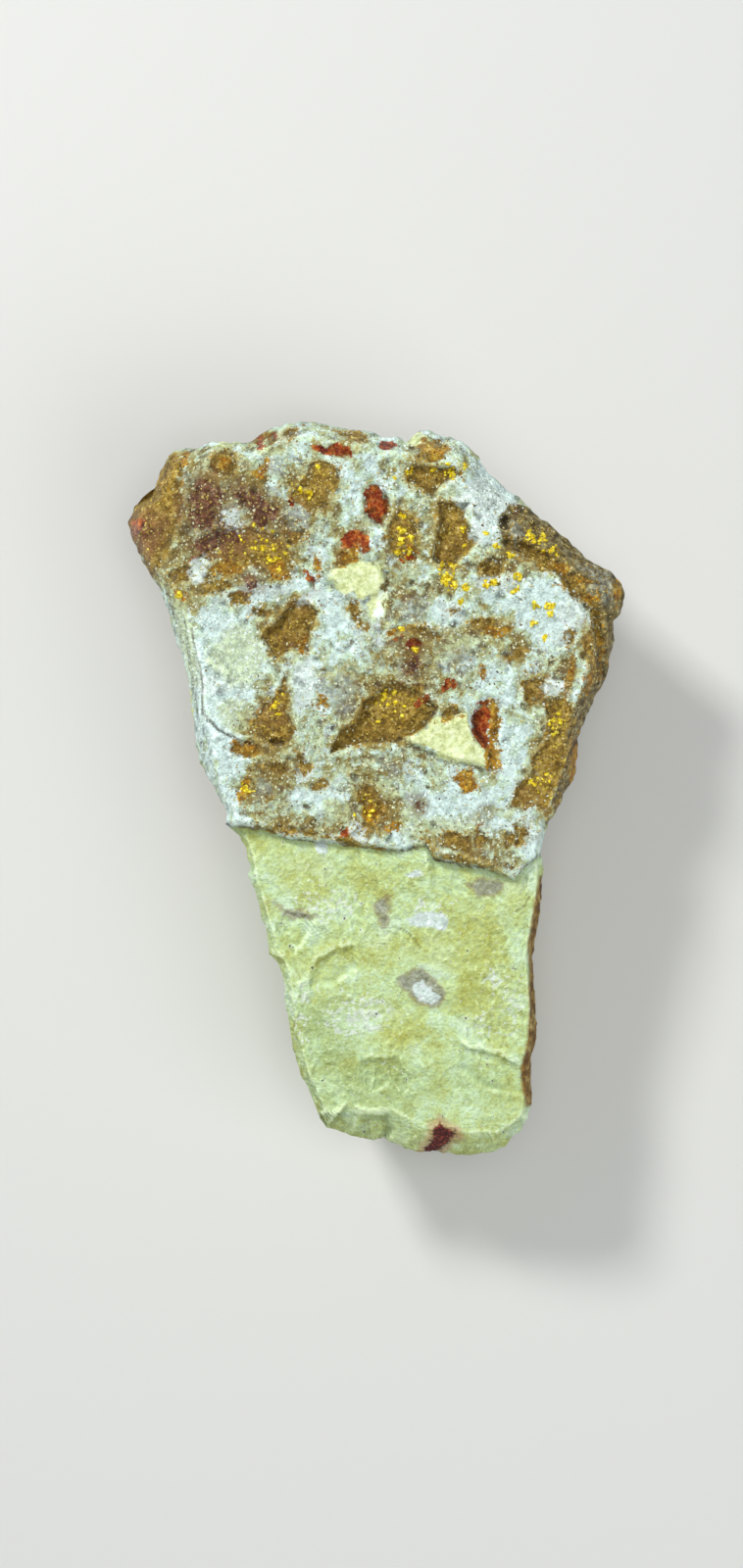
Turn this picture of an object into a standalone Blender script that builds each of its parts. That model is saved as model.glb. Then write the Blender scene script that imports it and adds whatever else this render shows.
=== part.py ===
"""Gold in quartz: one hand-sized piece of broken rock, lying on its flat joint face.

The upper two thirds, seen from above, is a quartz mass that stands a step proud of the
smoother cream wall rock below it. Shapes are worked out in millimetres, with +X to the
right, +Y towards the wide quartz end and +Z up, and become metres at the end.
"""

import itertools

import bmesh
import bpy
import numpy as np

MM = 0.001

# Driving dimensions, in millimetres.
QUARTZ_HEIGHT = 26.0  # top of the quartz mass above the surface the stone lies on
WALL_ROCK_DROP = 1.9  # step down from the quartz to the wall rock at their contact
STEP_WIDTH = 1.3  # across the step's rounded face
STEP_BEYOND_CONTACT = 0.3  # how much of that lies on the wall rock's side
FULL_STEP_WITHIN = 9.0  # where the step starts shallow, it is full this far past it
WALL_ROCK_START = -6.0  # how far along the stone the wall rock starts to fall away
WALL_ROCK_FALL = 0.045  # how much it falls for each millimetre towards its end
BACK_RIM_HEIGHT = 3.4  # where the sides meet the underside
BACK_RIM_REACH = 6.0  # how far in from there the underside comes down to its flat face
SCAR_DEPTH = 1.2  # hollows in the flat face, where flakes split off it
SCAR_LEVEL = 0.55  # more of it is hollow where this is less
LUMP_SIZE = 11.0  # across the broad lumps of the top
LUMP_HEIGHT = 0.75
RIDGE_SIZE = 6.5  # between the sharper ridges that cross them
RIDGE_HEIGHT = 0.5
WALL_ROCK_LUMPS = 0.5  # the share of the lumps and of the ridges that the wall rock has
WALL_ROCK_RIDGES = 0.3
BREAK_SIZE = 7.0  # across the broken lumps of the sides
BREAK_DEPTH = 1.9
LEDGE_SPACING = 6.2  # between the ledges that step the sides
LEDGE_WANDER = 5.0
LEDGE_DEPTH = 1.2

# Cells of the lattice that the box primitive is divided into, and the share of its
# triangles that the finished solid keeps.
CELLS = (100, 150, 20)
KEPT_TRIANGLES = 0.118

# The broken outline as seen from above, in four runs that meet at its corners.
TOP_EDGE = (
    (-26.9, 42.2), (-26.0, 43.5), (-22.4, 43.8), (-20.9, 44.5), (-19.4, 44.5), (-18.5, 44.1),
    (-17.5, 44.5), (-16.5, 44.1), (-15.3, 45.0), (-12.4, 46.5), (-9.6, 46.9), (-7.6, 46.8),
    (-3.9, 46.0), (-1.6, 45.9), (1.0, 45.0), (3.0, 44.9), (4.0, 44.4), (5.6, 45.8),
    (6.8, 45.8), (8.5, 45.0), (9.9, 44.9), (11.0, 44.4), (13.0, 42.5), (14.1, 40.8),
    (16.6, 38.4), (18.1, 37.5), (21.0, 34.6), (22.4, 33.8), (26.9, 29.6), (30.0, 27.8),
    (31.1, 26.6),
)
RIGHT_EDGE = (
    (31.1, 26.6), (31.7, 25.3), (31.6, 24.0), (31.3, 22.6), (30.3, 21.5), (30.5, 18.9),
    (29.0, 13.3), (27.5, 10.8), (25.9, 7.0), (25.6, 2.1), (24.1, -0.3), (23.3, -2.4),
    (22.0, -4.0), (20.9, -7.8), (21.3, -9.9), (21.1, -14.6), (19.9, -21.1), (20.5, -27.4),
    (20.5, -31.8), (19.9, -34.1), (19.9, -39.9), (19.4, -42.0),
)
BOTTOM_EDGE = (
    (19.4, -42.0), (18.4, -43.5), (16.8, -45.4), (15.5, -46.3), (11.8, -46.9), (9.1, -46.4),
    (5.6, -46.4), (3.5, -46.0), (1.0, -44.6), (-0.5, -45.1), (-4.5, -43.9), (-6.3, -43.3),
    (-7.3, -41.5),
)
LEFT_EDGE = (
    (-7.3, -41.5), (-8.8, -37.8), (-9.6, -36.3), (-11.0, -30.8), (-11.8, -24.0),
    (-12.3, -22.3), (-13.5, -20.9), (-13.7, -19.1), (-15.4, -13.0), (-16.3, -10.9),
    (-16.0, -10.1), (-16.6, -7.5), (-17.4, -5.9), (-19.0, -4.4), (-18.8, -3.0),
    (-20.1, -0.4), (-21.9, 2.5), (-22.9, 5.3), (-23.9, 13.9), (-26.4, 22.1), (-27.5, 25.5),
    (-29.4, 28.4), (-31.2, 32.0), (-31.8, 34.3), (-30.8, 36.4), (-28.6, 38.0),
    (-27.4, 41.0), (-26.9, 42.2),
)

# The broken edge between the top and the sides, at stations from the start (0) to the
# end (1) of each run: how wide its slope is, how far it drops, and how far the side
# below it runs back under the stone.
TOP_RIM = ((0.0, 2.0, 5.0, 5.0), (0.3, 2.2, 4.0, 4.0), (0.62, 2.4, 4.5, 4.0),
           (0.74, 5.2, 4.4, 5.0), (1.0, 3.8, 4.5, 7.0))
RIGHT_RIM = ((0.0, 3.8, 4.5, 7.0), (0.12, 2.8, 5.5, 5.0), (0.21, 2.6, 6.5, 4.0),
             (0.3, 1.9, 6.0, 3.0), (0.42, 1.6, 5.0, 1.6), (0.48, 0.9, 2.4, 1.4),
             (1.0, 1.0, 2.4, 2.5))
BOTTOM_RIM = ((0.0, 1.0, 2.4, 2.5), (0.2, 3.0, 3.4, 4.0), (0.6, 4.0, 4.4, 5.0),
              (0.92, 4.0, 4.6, 4.0), (1.0, 1.2, 2.2, 3.0))
LEFT_RIM = ((0.0, 1.2, 2.2, 3.0), (0.43, 0.8, 1.8, 3.0), (0.5, 1.4, 3.0, 3.0),
            (0.56, 2.6, 6.0, 3.5), (0.62, 1.9, 6.5, 3.5), (0.72, 2.4, 7.0, 4.0),
            (0.82, 1.3, 5.0, 5.0), (1.0, 2.0, 5.0, 5.0))

RUNS = (
    (TOP_EDGE, TOP_RIM),
    (RIGHT_EDGE, RIGHT_RIM),
    (BOTTOM_EDGE, BOTTOM_RIM),
    (LEFT_EDGE, LEFT_RIM),
)

# Where the quartz meets the wall rock, from the left edge to the right one: place
# across, place along, and the share of the full step that shows there.
CONTACT = (
    (-19.0, -4.6, 1.0), (-14.6, -5.1, 1.0), (-10.6, -6.4, 1.0), (-4.1, -7.0, 1.0),
    (2.6, -7.9, 0.8), (6.4, -7.3, 0.5), (7.5, -9.1, 1.0), (14.1, -10.3, 0.9),
    (17.6, -11.5, 0.6), (19.1, -9.5, 0.5), (21.0, -8.3, 0.5),
)

# Casts left in the quartz by fragments that weathered out.
CENTRE_CAST = (
    (-5.6, 4.8), (-5.4, 5.8), (-4.5, 7.6), (-2.6, 8.5), (-1.6, 11.0), (2.1, 13.8),
    (5.3, 12.6), (7.8, 10.5), (7.1, 8.9), (5.6, 7.6), (2.8, 6.1), (-1.6, 6.1),
)
UPPER_CAST = (
    (7.9, 36.4), (11.7, 36.4), (11.2, 34.6), (13.1, 31.8), (10.8, 30.0), (9.7, 28.1),
    (8.3, 28.2), (7.2, 29.3), (7.7, 32.4), (8.2, 34.0),
)
CROWN_CAST = (
    (4.1, 40.3), (4.8, 41.1), (9.9, 40.8), (10.6, 39.8), (8.3, 38.8), (7.1, 37.3),
    (4.4, 39.3),
)
LEFT_CAST = (
    (-14.4, 19.3), (-12.6, 21.4), (-10.5, 23.9), (-9.2, 24.0), (-7.2, 22.6), (-8.3, 20.4),
    (-8.5, 17.7), (-10.8, 18.2), (-12.8, 16.8),
)
# Patches of cream clay that stand on the quartz.
ROUND_CLAY = (
    (-6.1, 26.8), (-5.4, 28.0), (-4.1, 28.8), (-1.6, 28.9), (0.6, 28.2), (1.2, 26.4),
    (0.2, 24.8), (-2.0, 23.9), (-4.2, 24.8),
)
SWEPT_CLAY = (
    (3.2, 7.0), (5.0, 7.4), (6.5, 7.8), (6.9, 9.2), (9.0, 9.2), (11.5, 9.5), (12.1, 7.4),
    (14.1, 4.9), (14.2, 2.8), (12.2, 3.5), (9.8, 3.8), (6.9, 4.9), (4.4, 6.0),
)
# Scars left in the wall rock by flakes that split off it.
SIDE_SCAR = (
    (-11.5, -15.4), (-8.0, -16.1), (-9.0, -18.3), (-10.5, -20.7), (-12.1, -19.3),
    (-12.9, -17.4),
)
UPPER_SCAR = (
    (-8.1, -22.3), (-7.0, -21.3), (-6.0, -20.6), (-4.6, -20.1), (-3.1, -20.1),
    (-2.6, -22.4), (-5.4, -24.3), (-8.1, -24.6),
)
LOWER_SCAR = (
    (-1.8, -34.4), (-2.4, -36.9), (-1.0, -38.4), (0.8, -37.5), (1.8, -36.9), (3.3, -38.6),
    (4.5, -36.5), (2.5, -34.0),
)
SWEPT_SCAR = (
    (10.8, -32.4), (12.0, -32.9), (13.8, -32.9), (15.6, -33.4), (16.9, -34.2), (18.4, -35.3),
    (18.8, -38.6), (14.0, -37.8), (10.8, -35.4),
)
END_SCOOP = (
    (-2.0, -42.0), (-0.6, -41.4), (1.2, -41.7), (1.9, -43.4), (1.0, -45.2), (-1.0, -45.6),
    (-2.3, -44.2),
)
# Each feature's outline, its height above or below what is round it, its edge's width.
RAISED_AND_SUNK = (
    (CENTRE_CAST, -1.1, 0.7),
    (UPPER_CAST, -0.9, 0.6),
    (CROWN_CAST, -0.9, 0.6),
    (LEFT_CAST, -0.8, 0.6),
    (ROUND_CLAY, 0.7, 0.9),
    (SWEPT_CLAY, 0.9, 0.9),
    (SIDE_SCAR, -0.3, 0.8),
    (UPPER_SCAR, -0.5, 1.2),
    (LOWER_SCAR, -0.6, 1.0),
    (SWEPT_SCAR, -0.5, 1.0),
    (END_SCOOP, -1.2, 1.6),
)

# Pits: place across, place along, half width, half length and depth.
PITS = (
    (14.8, 28.3, 1.5, 1.6, 0.9),
    (16.3, 34.0, 0.9, 1.3, 1.0),
    (-12.6, 6.1, 1.2, 0.6, 0.7),
    (-19.2, 41.4, 2.2, 1.9, 0.6),
    (0.1, 36.1, 2.1, 3.2, 0.8),
    (13.9, 8.7, 2.2, 4.0, 0.8),
    (-16.6, 5.2, 2.3, 1.3, 0.7),
    (-0.9, -2.2, 2.0, 1.6, 0.7),
)
PIT_WALL = 0.4  # the share of a pit's half width that its wall takes

# The stained groove that parts the top from the right shoulder.
GROOVE = ((16.6, 31.4), (19.8, 30.3), (22.0, 29.1), (24.4, 26.9), (26.3, 24.1),
          (28.0, 22.0), (28.2, 19.6), (28.7, 15.2))
GROOVE_DEPTH = 1.5
GROOVE_HALF_WIDTH = 1.3
# The left corner is a plane of its own, sloping down to the left from this line.
CORNER_LINE = ((-21.8, 38.5), (-23.5, 22.0))
CORNER_SLOPE = 0.3

# Each kind of roughness has its own pattern of noise.
(TOP_LUMPS, TOP_RIDGES, SIDE_LUMPS, LEDGE_PLACES, LEDGE_AREAS, BACK_RIM, BACK_REACH,
 BACK_HOLLOWS) = range(3, 11)
LEDGE_STEEPNESS = 3.0  # how much faster a ledge's underside falls back than its top
LEVEL_WITHIN = 0.12  # what stands no higher than this is part of the flat rest face
BACK_SAMPLES = 60  # points along each edge of the underside
OUTLINE_STEP = 0.4  # spacing of the outline's samples
SMOOTHING_REACH = 5.0  # length over which the outline is evened out for its normals
RIM_CURVE = 1.15  # 1 for a flat slope at the broken rim, more for a rounder one
SIDE_CURVE = 1.6  # 1 for a side that runs straight back to the underside
SIDE_TOP_SHARE = 0.12  # the side breaks up within this share of its height
BACK_WANDER = 0.6  # how much the underside's rim differs from place to place
# Three directions at right angles, none along an axis, that the noise lattice follows.
NOISE_SLANT = np.array(((2, -2, 1), (1, 2, 2), (-2, -1, 2))) / 3
TINY = 1e-9  # keeps a line's doubled points from dividing by nothing

STONE_COLOUR = (0.72, 0.74, 0.55, 1.0)
STONE_ROUGHNESS = 0.85


def remove_old_objects():
    for old in list(bpy.data.objects):
        bpy.data.objects.remove(old, do_unlink=True)


def corner_values(corners, seed):
    """One number from -1 to 1 for each lattice corner, from its whole-number place."""
    mixed = corners[:, 0] * 73856093 ^ corners[:, 1] * 19349663 ^ corners[:, 2] * 83492791
    mixed = (mixed ^ seed * 40503) & 0x7FFFFFFF
    mixed = (mixed ^ mixed >> 13) * 1274126177 & 0x7FFFFFFF
    mixed = (mixed ^ mixed >> 16) * 668265263 & 0x7FFFFFFF
    return (mixed % 65521) / 32760.0 - 1.0


def lattice_noise(points, cell, seed):
    """Smooth noise from -1 to 1, blended between the corners of a slanting lattice."""
    if points.shape[1] == 2:
        points = np.column_stack([points, np.zeros(len(points))])
    scaled = points @ NOISE_SLANT / cell
    corner = np.floor(scaled).astype(np.int64)
    part = scaled - corner
    ease = part**3 * (part * (part * 6 - 15) + 10)
    total = np.zeros(len(points))
    for offset in itertools.product((0, 1), repeat=3):
        share = np.prod(np.where(np.array(offset) == 1, ease, 1 - ease), axis=1)
        total += share * corner_values(corner + np.array(offset), seed)
    return total


def creased_noise(points, cell, seed):
    """Noise from -1 to 1 with sharp ridges along the lines where plain noise is 0."""
    return 1 - 2 * np.abs(lattice_noise(points, cell, seed))


def eased(share):
    """A smooth rise from 0 to 1."""
    share = np.clip(share, 0, 1)
    return share * share * (3 - 2 * share)


def along(run, share):
    """Points at these shares of the length of an open line."""
    line = np.array(run)
    length = np.r_[0, np.cumsum(np.linalg.norm(np.diff(line, axis=0), axis=1))]
    at = np.asarray(share) * length[-1]
    return np.column_stack([np.interp(at, length, line[:, i]) for i in range(line.shape[1])])


def line_distance(points, line):
    """Distance of each point from an open line."""
    start = np.array(line)[:-1]
    run = np.diff(np.array(line), axis=0)
    away = points[:, None, :] - start
    squared = np.maximum((run**2).sum(1), TINY)
    share = np.clip((away * run).sum(2) / squared, 0, 1)
    return np.linalg.norm(away - share[:, :, None] * run, axis=2).min(1)


def depth_inside(points, outline):
    """Distance of each point from a closed outline, positive inside it."""
    closed = np.vstack([outline, outline[0]])
    start, end = closed[:-1], closed[1:]
    x, y = points[:, :1], points[:, 1:]
    spans = (start[:, 1] > y) != (end[:, 1] > y)
    rise = np.where(end[:, 1] == start[:, 1], 1.0, end[:, 1] - start[:, 1])
    crossing = start[:, 0] + (y - start[:, 1]) * (end[:, 0] - start[:, 0]) / rise
    inside = (spans & (x < crossing)).sum(1) % 2 == 1
    return np.where(inside, 1, -1) * line_distance(points, closed)


class Outline:
    """The stone's edge seen from above, sampled evenly, with its rim's sizes."""

    def __init__(self):
        places, rims = [], []
        for run, stations in RUNS:
            length = np.linalg.norm(np.diff(np.array(run), axis=0), axis=1).sum()
            share = np.arange(0, 1, OUTLINE_STEP / length)
            places.append(along(run, share))
            table = np.array(stations)
            rims.append(
                np.column_stack([np.interp(share, table[:, 0], table[:, i]) for i in (1, 2, 3)])
            )
        self.places = np.vstack(places)
        self.slope_width, self.drop, self.run_under = np.vstack(rims).T
        self.inward = self.smooth_normals()

    def smooth_normals(self):
        """Directions into the stone, from the outline with its small breaks evened out."""
        count = int(SMOOTHING_REACH / OUTLINE_STEP)
        shifts = [np.roll(self.places, shift, axis=0) for shift in range(-count, count + 1)]
        even = np.mean(shifts, axis=0)
        forward = np.roll(even, -1, axis=0) - np.roll(even, 1, axis=0)
        inward = np.column_stack([forward[:, 1], -forward[:, 0]])
        return inward / np.linalg.norm(inward, axis=1)[:, None]

    def nearest(self, points):
        """Distance to the nearest sample, and which one it is."""
        away = np.linalg.norm(points[:, None, :] - self.places, axis=2)
        return away.min(1), away.argmin(1)


def filled(across, up, edges):
    """Plan places inside four edges, by blending opposite edges (a Coons patch)."""
    top, right, bottom, left = edges
    s, t = across[:, None], up[:, None]
    sides = (1 - s) * along(left, up) + s * along(right, 1 - up)
    ends = (1 - t) * along(bottom, 1 - across) + t * along(top, across)
    corners = ((1 - s) * (1 - t) * left[0] + s * (1 - t) * right[-1]
               + (1 - s) * t * left[-1] + s * t * right[0])
    return sides + ends - corners


def on_edges(across, up, edges):
    """Plan places on four edges, for points on the lattice's four sides."""
    top, right, bottom, left = edges
    place = along(left, up)
    for chosen, run, share in (
        (across >= 1, right, 1 - up),
        (up >= 1, top, across),
        (up <= 0, bottom, 1 - across),
    ):
        place = np.where(chosen[:, None], along(run, share), place)
    return place


def plateau_height(plan):
    """Height of the top before its broken rim is taken off."""
    x, y = plan.T
    contact = np.array(CONTACT)
    above_contact = y - np.interp(x, contact[:, 0], contact[:, 1])
    share = np.interp(x, contact[:, 0], contact[:, 2])
    share += (1 - share) * eased(-above_contact / FULL_STEP_WITHIN)
    step = share * WALL_ROCK_DROP
    fall = WALL_ROCK_FALL * np.maximum(WALL_ROCK_START - y, 0)
    wall_rock = QUARTZ_HEIGHT - step - fall
    quartz_share = eased((above_contact + STEP_BEYOND_CONTACT) / STEP_WIDTH)
    level = wall_rock + (QUARTZ_HEIGHT - wall_rock) * quartz_share

    lumps = LUMP_HEIGHT * lattice_noise(plan, LUMP_SIZE, TOP_LUMPS)
    ridges = RIDGE_HEIGHT * creased_noise(plan, RIDGE_SIZE, TOP_RIDGES)
    level += lumps * (WALL_ROCK_LUMPS + (1 - WALL_ROCK_LUMPS) * quartz_share)
    level += ridges * (WALL_ROCK_RIDGES + (1 - WALL_ROCK_RIDGES) * quartz_share)

    (x0, y0), (x1, y1) = CORNER_LINE
    beyond = ((x - x0) * (y1 - y0) - (y - y0) * (x1 - x0)) / np.hypot(x1 - x0, y1 - y0)
    level -= CORNER_SLOPE * np.maximum(beyond, 0)

    for outline, height, edge in RAISED_AND_SUNK:
        level += height * eased(0.5 + depth_inside(plan, outline) / edge)
    for across, along_stone, half_width, half_length, depth in PITS:
        away = np.hypot((x - across) / half_width, (y - along_stone) / half_length)
        level -= depth * eased((1 - away) / PIT_WALL)
    level -= GROOVE_DEPTH * eased(1 - line_distance(plan, GROOVE) / GROOVE_HALF_WIDTH)
    return level


def top_height(plan, outline):
    """Height of the top, sloping down to the side within the width of the broken rim."""
    away, nearest = outline.nearest(plan)
    share = np.clip(1 - away / outline.slope_width[nearest], 0, 1)
    return plateau_height(plan) - outline.drop[nearest] * share**RIM_CURVE


def back_rim_height(plan):
    """Height at which the side meets the underside, which wanders along the rim."""
    return BACK_RIM_HEIGHT * (1 + BACK_WANDER * lattice_noise(plan, LUMP_SIZE, BACK_RIM))


def side_break(places):
    """How far each point of the side stands back, from broken lumps and ledges."""
    lumps = (1 - creased_noise(places, BREAK_SIZE, SIDE_LUMPS)) / 2
    wander = LEDGE_WANDER * lattice_noise(places, 2 * BREAK_SIZE, LEDGE_PLACES)
    share = (places[:, 2] + wander) / LEDGE_SPACING % 1.0
    ledges = 1 - np.minimum(share, (1 - share) * LEDGE_STEEPNESS)
    ledges *= eased(0.5 + lattice_noise(places, 2 * BREAK_SIZE, LEDGE_AREAS))
    return BREAK_DEPTH * lumps + LEDGE_DEPTH * ledges


def side_places(edge, depth, outline):
    """Places on the side below these points of the outline, at depths from 0 to 1."""
    _, nearest = outline.nearest(edge)
    inward = outline.inward[nearest]
    plan = edge + inward * (outline.run_under[nearest] * depth**SIDE_CURVE)[:, None]
    level = top_height(edge, outline)
    places = np.column_stack([plan, level + (back_rim_height(plan) - level) * depth])
    stands_back = side_break(places) * eased(depth / SIDE_TOP_SHARE)
    places[:, :2] += inward * stands_back[:, None]
    return places


def back_edges(outline):
    """The four edges of the underside, in plan, where the broken sides come down to it."""
    edges = []
    for run, _ in RUNS:
        line = along(run, np.linspace(0, 1, BACK_SAMPLES))
        edges.append(side_places(line, np.ones(BACK_SAMPLES), outline)[:, :2])
    ends = [(edges[i - 1][-1] + edges[i][0]) / 2 for i in range(4)]
    for i in range(4):
        edges[i][0] = ends[i]
        edges[i][-1] = ends[(i + 1) % 4]
    return edges


def back_height(plan, edges):
    """Height of the underside: rough near its rim, and flat where the stone rests."""
    reach = BACK_RIM_REACH * (1 + BACK_WANDER * lattice_noise(plan, LUMP_SIZE, BACK_REACH))
    share = np.clip(1 - line_distance(plan, np.vstack(edges)) / reach, 0, 1)
    hollows = SCAR_DEPTH * (creased_noise(plan, LUMP_SIZE, BACK_HOLLOWS) - SCAR_LEVEL)
    return back_rim_height(plan) * share + (1 - share) * np.maximum(hollows, 0)


def stone_places(lattice):
    """Carries the lattice's points, from -1 to 1 each way, to the stone's surface."""
    outline = Outline()
    across, up, level = ((lattice + 1) / 2).T
    runs = [np.array(run) for run, _ in RUNS]
    places = side_places(on_edges(across, up, runs), 1 - level, outline)

    on_top = level >= 1
    plan = filled(across[on_top], up[on_top], runs)
    places[on_top] = np.column_stack([plan, top_height(plan, outline)])

    edges = back_edges(outline)
    under = level <= 0
    plan = filled(across[under], up[under], edges)
    places[under] = np.column_stack([plan, back_height(plan, edges)])

    lowest, highest = places.min(0), places.max(0)
    centre = (lowest + highest) / 2
    return places - (centre[0], centre[1], lowest[2])


def divided_box():
    """A box primitive from -1 to 1, whose edges are cut evenly along each axis."""
    box = bmesh.new()
    bmesh.ops.create_cube(box, size=2.0)
    for axis, cells in enumerate(CELLS):
        whole = [e for e in box.edges if abs(e.verts[0].co[axis] - e.verts[1].co[axis]) > 1]
        bmesh.ops.subdivide_edges(box, edges=whole, cuts=cells - 1, use_grid_fill=True)
    return box


def stone_material():
    material = bpy.data.materials.new("cream_and_quartz_rock")
    material.use_nodes = True
    shader = material.node_tree.nodes["Principled BSDF"]
    shader.inputs["Base Color"].default_value = STONE_COLOUR
    shader.inputs["Roughness"].default_value = STONE_ROUGHNESS
    shader.inputs["Metallic"].default_value = 0.0
    return material


def carried_mesh():
    """A divided box whose points are carried to the stone's surface."""
    box = divided_box()
    lattice = np.array([v.co for v in box.verts])
    for vertex, place in zip(box.verts, stone_places(lattice) * MM):
        vertex.co = place
    bmesh.ops.triangulate(box, faces=box.faces)
    mesh = bpy.data.meshes.new("stone_before_thinning")
    box.to_mesh(mesh)
    box.free()
    return mesh


def laid_flat(mesh):
    """Brings the points that are all but level with the lowest ones to one level."""
    places = np.empty(3 * len(mesh.vertices), np.float32)
    mesh.vertices.foreach_get("co", places)
    heights = places[2::3]
    heights[heights < LEVEL_WITHIN * MM] = 0
    mesh.vertices.foreach_set("co", places)
    mesh.update()


def make_stone(collection):
    """The stone, thinned to the triangles that its shape needs, with its rest face flat."""
    stone = bpy.data.objects.new("stone", carried_mesh())
    collection.objects.link(stone)
    thinning = stone.modifiers.new("thinning", "DECIMATE")
    thinning.ratio = KEPT_TRIANGLES
    evaluated = stone.evaluated_get(bpy.context.evaluated_depsgraph_get())
    thinned = bpy.data.meshes.new_from_object(evaluated)
    stone.modifiers.remove(thinning)
    laid_flat(thinned)
    thinned.materials.append(stone_material())
    stone.data = thinned
    return stone


def main():
    remove_old_objects()
    collection = bpy.data.collections.new("gold_in_quartz")
    bpy.context.scene.collection.children.link(collection)
    make_stone(collection)


main()
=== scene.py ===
"""Gold in quartz: the looks of one broken stone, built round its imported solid.

Shapes and patterns are worked out in millimetres, with +X to the right, +Y towards the
wide quartz end and +Z up, and become metres as they go into a mesh. A depth in a patch
is in millimetres too: above 0 inside the patch, 0 on its edge and below 0 outside.
"""

import itertools
import logging
from dataclasses import dataclass
from enum import Enum
from typing import Callable

import bpy
import numpy as np
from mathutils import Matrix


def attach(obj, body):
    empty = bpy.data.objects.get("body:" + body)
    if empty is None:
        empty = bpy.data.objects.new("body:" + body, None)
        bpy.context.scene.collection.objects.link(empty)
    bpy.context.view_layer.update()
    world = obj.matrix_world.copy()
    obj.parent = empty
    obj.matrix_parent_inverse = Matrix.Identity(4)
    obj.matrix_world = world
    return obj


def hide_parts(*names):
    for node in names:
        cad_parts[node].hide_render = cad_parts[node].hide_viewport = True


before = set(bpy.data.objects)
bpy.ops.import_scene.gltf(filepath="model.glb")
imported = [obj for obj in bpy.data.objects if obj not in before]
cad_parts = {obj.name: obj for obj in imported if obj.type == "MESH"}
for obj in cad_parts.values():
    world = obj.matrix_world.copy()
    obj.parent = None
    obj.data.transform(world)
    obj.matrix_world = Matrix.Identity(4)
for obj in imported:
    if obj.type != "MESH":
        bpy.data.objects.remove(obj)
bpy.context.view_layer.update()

log = logging.getLogger("gold_in_quartz")

Array = np.ndarray
Outline = tuple[tuple[float, float], ...]
Stations = tuple[tuple[float, ...], ...]
Colour = tuple[int, int, int]
Shades = tuple[tuple[float, Colour], ...]
Span = tuple[float, float]
Socket = bpy.types.NodeSocket

MM = 0.001
TINY = 1e-9
BLOCK_LENGTH = 4000

# The broken outline as seen from above, in four runs that meet at its corners.
TOP_EDGE: Outline = (
    (-26.9, 42.2), (-26, 43.5), (-22.4, 43.8), (-20.9, 44.5), (-19.4, 44.5), (-18.5, 44.1),
    (-17.5, 44.5), (-16.5, 44.1), (-15.3, 45), (-12.4, 46.5), (-9.6, 46.9), (-7.6, 46.8),
    (-3.9, 46), (-1.6, 45.9), (1, 45), (3, 44.9), (4, 44.4), (5.6, 45.8), (6.8, 45.8), (8.5, 45),
    (9.9, 44.9), (11, 44.4), (13, 42.5), (14.1, 40.8), (16.6, 38.4), (18.1, 37.5), (21, 34.6),
    (22.4, 33.8), (26.9, 29.6), (30, 27.8), (31.1, 26.6),
)
RIGHT_EDGE: Outline = (
    (31.1, 26.6), (31.7, 25.3), (31.6, 24), (31.3, 22.6), (30.3, 21.5), (30.5, 18.9), (29, 13.3),
    (27.5, 10.8), (25.9, 7), (25.6, 2.1), (24.1, -0.3), (23.3, -2.4), (22, -4), (20.9, -7.8),
    (21.3, -9.9), (21.1, -14.6), (19.9, -21.1), (20.5, -27.4), (20.5, -31.8), (19.9, -34.1),
    (19.9, -39.9), (19.4, -42),
)
BOTTOM_EDGE: Outline = (
    (19.4, -42), (18.4, -43.5), (16.8, -45.4), (15.5, -46.3), (11.8, -46.9), (9.1, -46.4),
    (5.6, -46.4), (3.5, -46), (1, -44.6), (-0.5, -45.1), (-4.5, -43.9), (-6.3, -43.3),
    (-7.3, -41.5),
)
LEFT_EDGE: Outline = (
    (-7.3, -41.5), (-8.8, -37.8), (-9.6, -36.3), (-11, -30.8), (-11.8, -24), (-12.3, -22.3),
    (-13.5, -20.9), (-13.7, -19.1), (-15.4, -13), (-16.3, -10.9), (-16, -10.1), (-16.6, -7.5),
    (-17.4, -5.9), (-19, -4.4), (-18.8, -3), (-20.1, -0.4), (-21.9, 2.5), (-22.9, 5.3),
    (-23.9, 13.9), (-26.4, 22.1), (-27.5, 25.5), (-29.4, 28.4), (-31.2, 32), (-31.8, 34.3),
    (-30.8, 36.4), (-28.6, 38), (-27.4, 41), (-26.9, 42.2),
)

# The broken edge between the top and the sides, at stations along each run: how wide its
# slope is, how far it drops, and how far the side below it runs back under the stone.
TOP_RIM: Stations = (
    (0, 2, 5, 5), (0.3, 2.2, 4, 4), (0.62, 2.4, 4.5, 4), (0.74, 5.2, 4.4, 5), (1, 3.8, 4.5, 7),
)
RIGHT_RIM: Stations = (
    (0, 3.8, 4.5, 7), (0.12, 2.8, 5.5, 5), (0.21, 2.6, 6.5, 4), (0.3, 1.9, 6, 3),
    (0.42, 1.6, 5, 1.6), (0.48, 0.9, 2.4, 1.4), (1, 1, 2.4, 2.5),
)
BOTTOM_RIM: Stations = (
    (0, 1, 2.4, 2.5), (0.2, 3, 3.4, 4), (0.6, 4, 4.4, 5), (0.92, 4, 4.6, 4), (1, 1.2, 2.2, 3),
)
LEFT_RIM: Stations = (
    (0, 1.2, 2.2, 3), (0.43, 0.8, 1.8, 3), (0.5, 1.4, 3, 3), (0.56, 2.6, 6, 3.5),
    (0.62, 1.9, 6.5, 3.5), (0.72, 2.4, 7, 4), (0.82, 1.3, 5, 5), (1, 2, 5, 5),
)

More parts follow.
